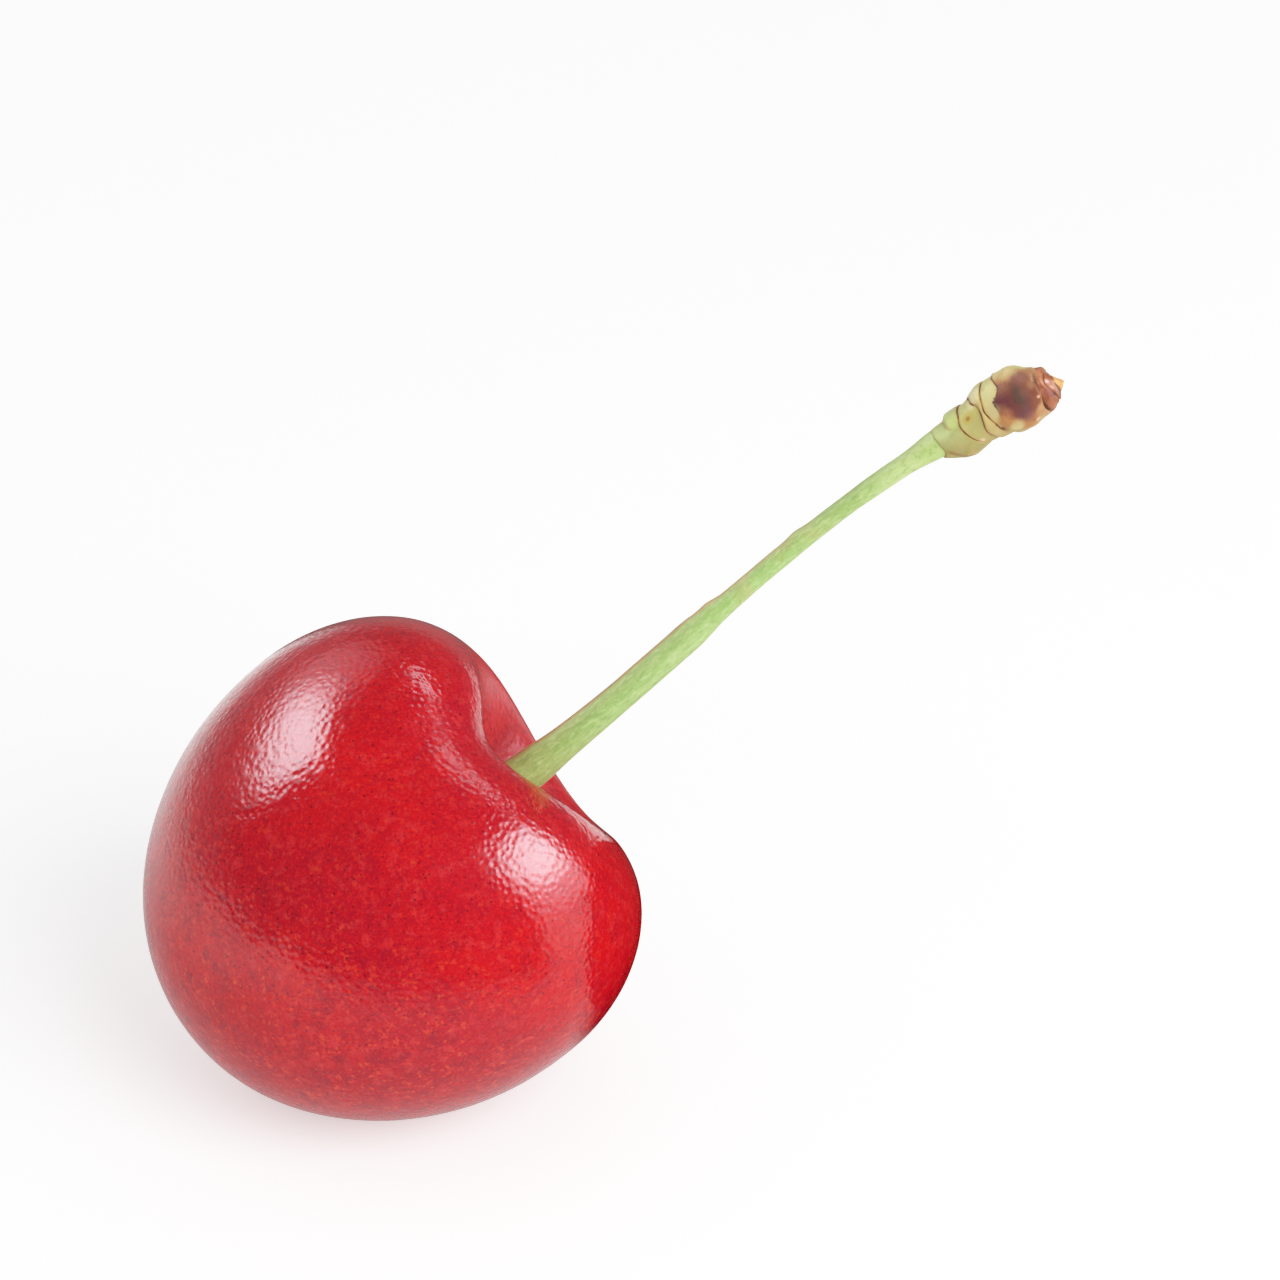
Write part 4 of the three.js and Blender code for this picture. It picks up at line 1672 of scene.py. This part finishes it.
@dataclass
class TornTip(Layers):
    """The knob's broken end: dry scale torn off and rolled up, wrap inside wrap."""

    name: ClassVar[str] = "cherry_torn_tip"
    solid: ClassVar[Solid] = Solid.TORN_TIP
    slot: ClassVar[Slot] = Slot.BROWN_SCALES

    rings: ClassVar[tuple[Ring, ...]] = (
        Ring(
            ((0, 5.40), (180, 5.40)),
            (0.88, 1.06, 1.14, 1.12, 0.99),
            (0.88, 1.10, 1.17, 1.10, 0.92),
            (0.88, 1.10, 1.17, 1.08, 0.90),
            (0.88, 1.06, 1.14, 1.10, 0.95),
        ),
        Ring(
            (
                (-60, 6.30), (-26, 6.33), (0, 6.27), (13, 6.22), (45, 6.17), (63, 6.23),
                (78, 6.34), (93, 6.42), (112, 6.47), (135, 6.45), (165, 6.38), (210, 6.32),
                (270, 6.28),
            ),
            (0.80, 0.75, 0.71),
            (0.76, 0.72, 0.66, 0.57, 0.49),
            (0.82, 0.78, 0.71, 0.62, 0.52),
            (0.78, 0.73, 0.69),
            0.5,
        ),
        Ring(
            (
                (-60, 6.42), (-26, 6.42), (-5, 6.48), (8, 6.57), (26, 6.61), (45, 6.63),
                (75, 6.68), (104, 6.72), (130, 6.69), (165, 6.62), (210, 6.58), (270, 6.48),
            ),
            (0.68, 0.57, 0.44, 0.36, 0.26, 0.17),
            (0.40, 0.35, 0.29, 0.23, 0.18),
            (0.46, 0.36, 0.28, 0.22),
            (0.62, 0.50, 0.40, 0.32, 0.24, 0.17),
        ),
    )
    flaps: ClassVar[tuple[Flap, ...]] = (
        Flap(
            0,
            ((-40, 6.12), (0, 6.06), (33, 6.04), (51, 6.07), (62, 6.13), (75, 6.22)),
            ((-45, 0.0), (0, 0.05), (33, 0.07), (60, 0.06), (78, 0.0)),
            0.8,
            (-0.02, 0.04),
        ),
    )
    end: ClassVar[Outline] = (
        (-30, 7.02), (0, 7.03), (60, 6.98), (110, 6.90), (150, 6.82), (180, 6.81), (240, 6.88),
        (300, 6.99),
    )
    start_depth: ClassVar[float] = 5.30
    end_depth: ClassVar[float] = 6.93
    roughness: ClassVar[Outline] = ((0.45, 0.05), (0.18, 0.025))
    sag: ClassVar[Outline] = (
        (5.40, -0.08), (5.80, -0.12), (6.10, -0.12), (6.31, -0.05), (6.44, -0.13), (6.55, -0.16),
        (6.70, -0.15), (6.85, -0.17), (7.05, -0.17),
    )
    line_reach: float = 0.08
    groove: float = 0.05

    def settle(self, point: Vector) -> Vector:
        """Sinks a point with the tip's own bent middle line."""
        return point + Vector((read_smooth(self.sag, point.z), 0.0, 0.0))


# ---- Studio --------------------------------------------------------------------------------


def only_mirrored(thing: bpy.types.Object) -> None:
    """Hides a studio thing from everything but mirrored light.

    Args:
        thing: The thing's object.
    """
    thing.visible_camera = False
    thing.visible_diffuse = False
    thing.visible_transmission = False
    thing.visible_shadow = False


@dataclass(frozen=True)
class Glow:
    """A bright soft-edged panel of the room, mirrored in whatever is glossy.

    Its softness is a share of its half size, for the sides at its left, right, bottom and top
    as seen from the fruit.
    """

    direction: Point
    width: float
    height: float
    brightness: float
    softness: tuple[float, float, float, float]
    lean: float = 0.0
    least_depth: ClassVar[float] = 0.2

    def shine(self, recipe: Recipe, way: Field) -> Field:
        """How bright the panel is in each direction.

        Args:
            recipe: The room's tree.
            way: The direction that is looked in.

        Returns:
            The brightness.
        """
        ahead = Vector(self.direction).normalized()
        across = ahead.cross(Vector(UP)).normalized()
        across.rotate(Quaternion(ahead, math.radians(self.lean)))
        upward = across.cross(ahead)
        depth = recipe.along(way, ahead)
        left, right, bottom, top = self.softness
        sides = ((across, self.width, left, right), (upward, self.height, bottom, top))
        inside = depth.smooth(0.0, self.least_depth)
        for axis, size, near, far in sides:
            out = recipe.along(way, axis / math.tan(math.radians(size / 2))) / depth
            inside = inside * out.band((-1.0 - near, -1.0 + near), (1.0 + far, 1.0 - far))
        return self.brightness * inside


@dataclass(frozen=True)
class Flag:
    """A dark ball that only glossy things mirror, as its neighbours darken a fruit in a heap."""

    centre: Point
    radius: float
    low_glow: float
    high_glow: float
    columns: ClassVar[int] = 48
    rows: ClassVar[int] = 32

    def build(self, name: str) -> None:
        """Hangs the flag.

        Args:
            name: Its object's name.
        """
        body = bmesh.new()
        place = Matrix.Translation(self.centre)
        bmesh.ops.create_uvsphere(
            body,
            u_segments=self.columns,
            v_segments=self.rows,
            radius=self.radius,
            matrix=place,
        )
        flag = as_object(body, name)
        recipe = Recipe.material(name)
        # Painted light: the ball glows a little, more towards its top.
        middle = self.centre[2]
        upper = recipe.along(recipe.place(), UP).smooth(middle, middle + self.radius)
        glow = self.low_glow + (self.high_glow - self.low_glow) * upper
        painted_glow = recipe.mix(glow, (0.0, 0.0, 0.0), (1.0, 1.0, 1.0))
        mirrored_shade_finish = recipe.finish(
            {
                "Base Color": (0.01, 0.001, 0.001),
                "Roughness": 1.0,
                "Specular IOR Level": 0.0,
                "Emission Color": painted_glow,
                "Emission Strength": 1.0,
            }
        )
        flag.data.materials.append(mirrored_shade_finish)
        only_mirrored(flag)


@dataclass(frozen=True)
class Patch:
    """A dark patch of the sheet of painted shade, by its darkness and its soft edges.

    A side is (x, y, bare, dark): how far along that direction the sheet is still bare, and how
    far it is dark. The reach is the same pair for the distance from the middle.
    """

    darkness: float
    sides: tuple[tuple[float, float, float, float], ...] = ()
    reach: tuple[float, float] | None = None

    def cover(self, recipe: Recipe, place: Field) -> Field:
        """How dark the patch makes the sheet.

        Args:
            recipe: The sheet's tree.
            place: The place on the sheet.

        Returns:
            The darkness, from 0 to 1.
        """
        cover = self.darkness
        for x, y, bare, dark in self.sides:
            cover = cover * recipe.along(place, (x, y, 0.0)).smooth(bare, dark)
        if self.reach:
            cover = cover * recipe.distance(place, (0.0, 0.0, 0.0)).smooth(*self.reach)
        return cover


def hang(name: str, data: bpy.types.ID, place: Vector, ahead: Vector) -> bpy.types.Object:
    """Hangs a lamp or a camera.

    Args:
        name: Its name.
        data: What it is.
        place: Where it hangs, in millimetres.
        ahead: The way it faces.

    Returns:
        Its object.
    """
    holder = bpy.data.objects.new(name, data)
    holder.location = place * MM
    holder.rotation_mode = "QUATERNION"
    holder.rotation_quaternion = ahead.to_track_quat("-Z", "Y")
    bpy.context.scene.collection.objects.link(holder)
    return holder


@dataclass
class Studio:
    """A pale floor, a soft lamp, a dim room with bright panels, and the camera."""

    floor_size: float = 3000.0
    floor_colour: Colour = (0.85, 0.85, 0.85)
    floor_glow: float = 0.50
    # The room's brightness for soft light, as seen, and as mirrored between its panels.
    fill: float = 0.74
    backdrop: float = 1.7
    overhead: float = 0.22
    mirrored_tint: Colour = (0.98, 0.95, 1.04)
    panels: tuple[Glow, ...] = (
        Glow((-0.67, 0.21, 0.70), 38.0, 25.0, 14.0, (0.35, 0.90, 0.80, 0.60)),
        Glow((-0.57, 0.47, 0.70), 60.0, 40.0, 1.6, (0.5, 0.6, 0.5, 0.5)),
        Glow((0.84, -0.11, 0.54), 33.0, 24.0, 15.0, (0.45, 0.90, 0.80, 0.60)),
        Glow((0.94, -0.10, 0.33), 44.0, 36.0, 5.0, (0.25, 0.50, 0.80, 0.50)),
        Glow((0.44, 0.47, 0.775), 25.0, 6.0, 7.5, (0.4, 0.5, 0.7, 0.7), 15.0),
        Glow((-0.82, 0.57, 0.04), 90.0, 24.0, 0.5, (0.5, 0.5, 0.8, 0.8)),
    )
    # The dark neighbours that the fruit and the knob mirror: on the right, and behind.
    flags: tuple[Flag, ...] = (
        Flag((21.0, 1.0, 8.5), 9.2, 0.0, 0.06),
        Flag((5.0, 33.0, 13.0), 15.0, 0.10, 0.38),
    )
    shade_sheet_height: float = 0.02
    # Painted shade: in front; behind on the right; round the fruit; and beyond it on the right.
    shade_sheet: tuple[Patch, ...] = (
        Patch(0.90, ((0.584, -0.821, 8.0, 50.0), (0.515, 0.859, 8.0, -8.0))),
        Patch(1.0, ((0.90, 0.43, 6.0, 13.0), (0.20, 0.98, -6.0, 4.0)), (52.0, 40.0)),
        Patch(0.45, (), (65.0, 22.0)),
        Patch(0.85, ((-0.035, 0.999, 0.0, 12.0), (0.588, -0.809, 0.0, 12.0)), (22.0, 34.0)),
    )
    # Pairs of a scene brightness and the tone it is shown as.
    tones: Outline = ((0.25, 0.25), (0.45, 0.445), (0.85, 0.73), (1.20, 0.90), (1.60, 1.0))
    # Where the lamp hangs as seen from the fruit, and how wide it looks from there.
    lamp_towards: Point = (0.527, -0.628, 0.574)
    lamp_width: float = 44.0
    lamp_strength: float = 1.15
    lamp_distance: float = 420.0
    camera_target: Point = (13.595, 6.309, 22.982)
    camera_distance: float = 278.0
    camera_rise: float = 30.0
    camera_range: tuple[float, float] = (10.0, 10_000.0)
    lens: float = 150.12
    sensor: float = 36.0

    def build_sheet(self, name: str, size: float, height: float) -> bpy.types.Object:
        """Lays a square sheet on the ground.

        Args:
            name: The sheet's name.
            size: The length of its sides.
            height: How high it lies.

        Returns:
            Its object.
        """
        body = bmesh.new()
        place = Matrix.Translation((0.0, 0.0, height))
        bmesh.ops.create_grid(body, x_segments=1, y_segments=1, size=size / 2, matrix=place)
        sheet = as_object(body, name)
        return sheet

    def build_floor(self) -> None:
        """Lays the floor: a white table, lit a little from below."""
        floor = self.build_sheet("floor", self.floor_size, 0.0)
        recipe = Recipe.material("floor_paper")
        paper = recipe.finish(
            {
                "Base Color": self.floor_colour,
                "Roughness": 0.9,
                "Emission Color": (1.0, 1.0, 1.0),
                "Emission Strength": self.floor_glow,
            }
        )
        floor.data.materials.append(paper)

    def build_shade_sheet(self) -> None:
        """Lays a sheet of painted shade on the floor, which only glossy things mirror, dark where
        its patches are.
        """
        shade_sheet = self.build_sheet("shade_sheet", self.floor_size, self.shade_sheet_height)
        recipe = Recipe.material("shade_sheet")
        place = recipe.place()
        dark = reduce(Field.maximum, [patch.cover(recipe, place) for patch in self.shade_sheet])
        mirrored_shade_finish = recipe.finish(
            {
                "Base Color": (0.006, 0.001, 0.001),
                "Roughness": 1.0,
                "Specular IOR Level": 0.0,
                "Alpha": dark,
            }
        )
        shade_sheet.data.materials.append(mirrored_shade_finish)
        only_mirrored(shade_sheet)

    def build_room(self) -> None:
        """Makes an even fill, a white backdrop, and a dim room that glossy things mirror."""
        world = bpy.data.worlds.new("room")
        recipe = Recipe(world)
        way = Field(recipe, recipe.node("ShaderNodeTexCoord").outputs["Generated"])
        room = sum((panel.shine(recipe, way) for panel in self.panels), self.overhead)
        path = recipe.node("ShaderNodeLightPath")
        seen = Field(recipe, path.outputs["Is Camera Ray"])
        mirrored = Field(recipe, path.outputs["Is Glossy Ray"])
        light = self.fill + mirrored * (room - self.fill)
        light = light + seen * (self.backdrop - light)
        tint = recipe.mix(mirrored, (1.0, 1.0, 1.0), self.mirrored_tint)
        background = recipe.node("ShaderNodeBackground", {}, {"Color": tint, "Strength": light})
        surface = Field(recipe, background.outputs[0])
        recipe.node("ShaderNodeOutputWorld", {}, {"Surface": surface})
        bpy.context.scene.world = world

    def build_lamp(self) -> None:
        """Hangs the soft lamp in front, on the right."""
        lamp = bpy.data.lights.new("lamp", "AREA")
        lamp.shape = "DISK"
        lamp.size = 2.0 * self.lamp_distance * MM * math.tan(math.radians(self.lamp_width / 2))
        lamp.energy = self.lamp_strength * (math.pi * self.lamp_distance * MM) ** 2
        towards = Vector(self.lamp_towards).normalized()
        place = Vector(Fruit.centre) + self.lamp_distance * towards
        holder = hang("lamp", lamp, place, -towards)
        holder.visible_camera = False
        holder.visible_glossy = False

    def build_camera(self) -> None:
        """Sets up the camera."""
        camera = bpy.data.cameras.new("camera")
        camera.lens = self.lens
        camera.sensor_width = self.sensor
        camera.clip_start, camera.clip_end = (end * MM for end in self.camera_range)
        tilt = math.radians(self.camera_rise)
        ahead = Vector((0.0, math.cos(tilt), -math.sin(tilt)))
        place = Vector(self.camera_target) - self.camera_distance * ahead
        bpy.context.scene.camera = hang("camera", camera, place, ahead)

    def build_tones(self) -> None:
        """Rolls bright tones off softly, as film does, so that highlights keep their shape."""
        settings = bpy.context.scene.view_settings
        settings.view_transform = "Standard"
        settings.use_curve_mapping = True
        mapping = settings.curve_mapping
        brightest = self.tones[-1][0]
        mapping.white_level = (brightest, brightest, brightest)
        mapping.extend = "HORIZONTAL"
        combined = mapping.curves[3]
        for given, shown in self.tones[:-1]:
            combined.points.new(given / brightest, shown)
        mapping.update()

    def build(self) -> None:
        """Builds the whole studio."""
        self.build_floor()
        self.build_shade_sheet()
        self.build_room()
        for number, flag in enumerate(self.flags, start=1):
            flag.build(f"flag_{number}")
        self.build_lamp()
        self.build_camera()
        self.build_tones()


def main() -> None:
    """Builds the cherry and the studio round it."""
    logging.basicConfig(level=logging.INFO, format="%(name)s: %(message)s")
    fruit = Fruit()
    foot_height = 4.9
    line = StalkLine(foot=fruit.placement() @ Vector((0.0, 0.0, foot_height)))
    knob = Knob(line)
    pieces = (
        (fruit, CherrySkin()),
        (Stalk(line), StalkSkin()),
        (BudScales(knob), ScaleSkin()),
        (TornTip(knob), TornSkin()),
    )
    for part, finish in pieces:
        piece = part.build()
        part.dress(piece, finish.material())
        part.report(piece)
    Studio().build()


if __name__ == "__main__":
    main()
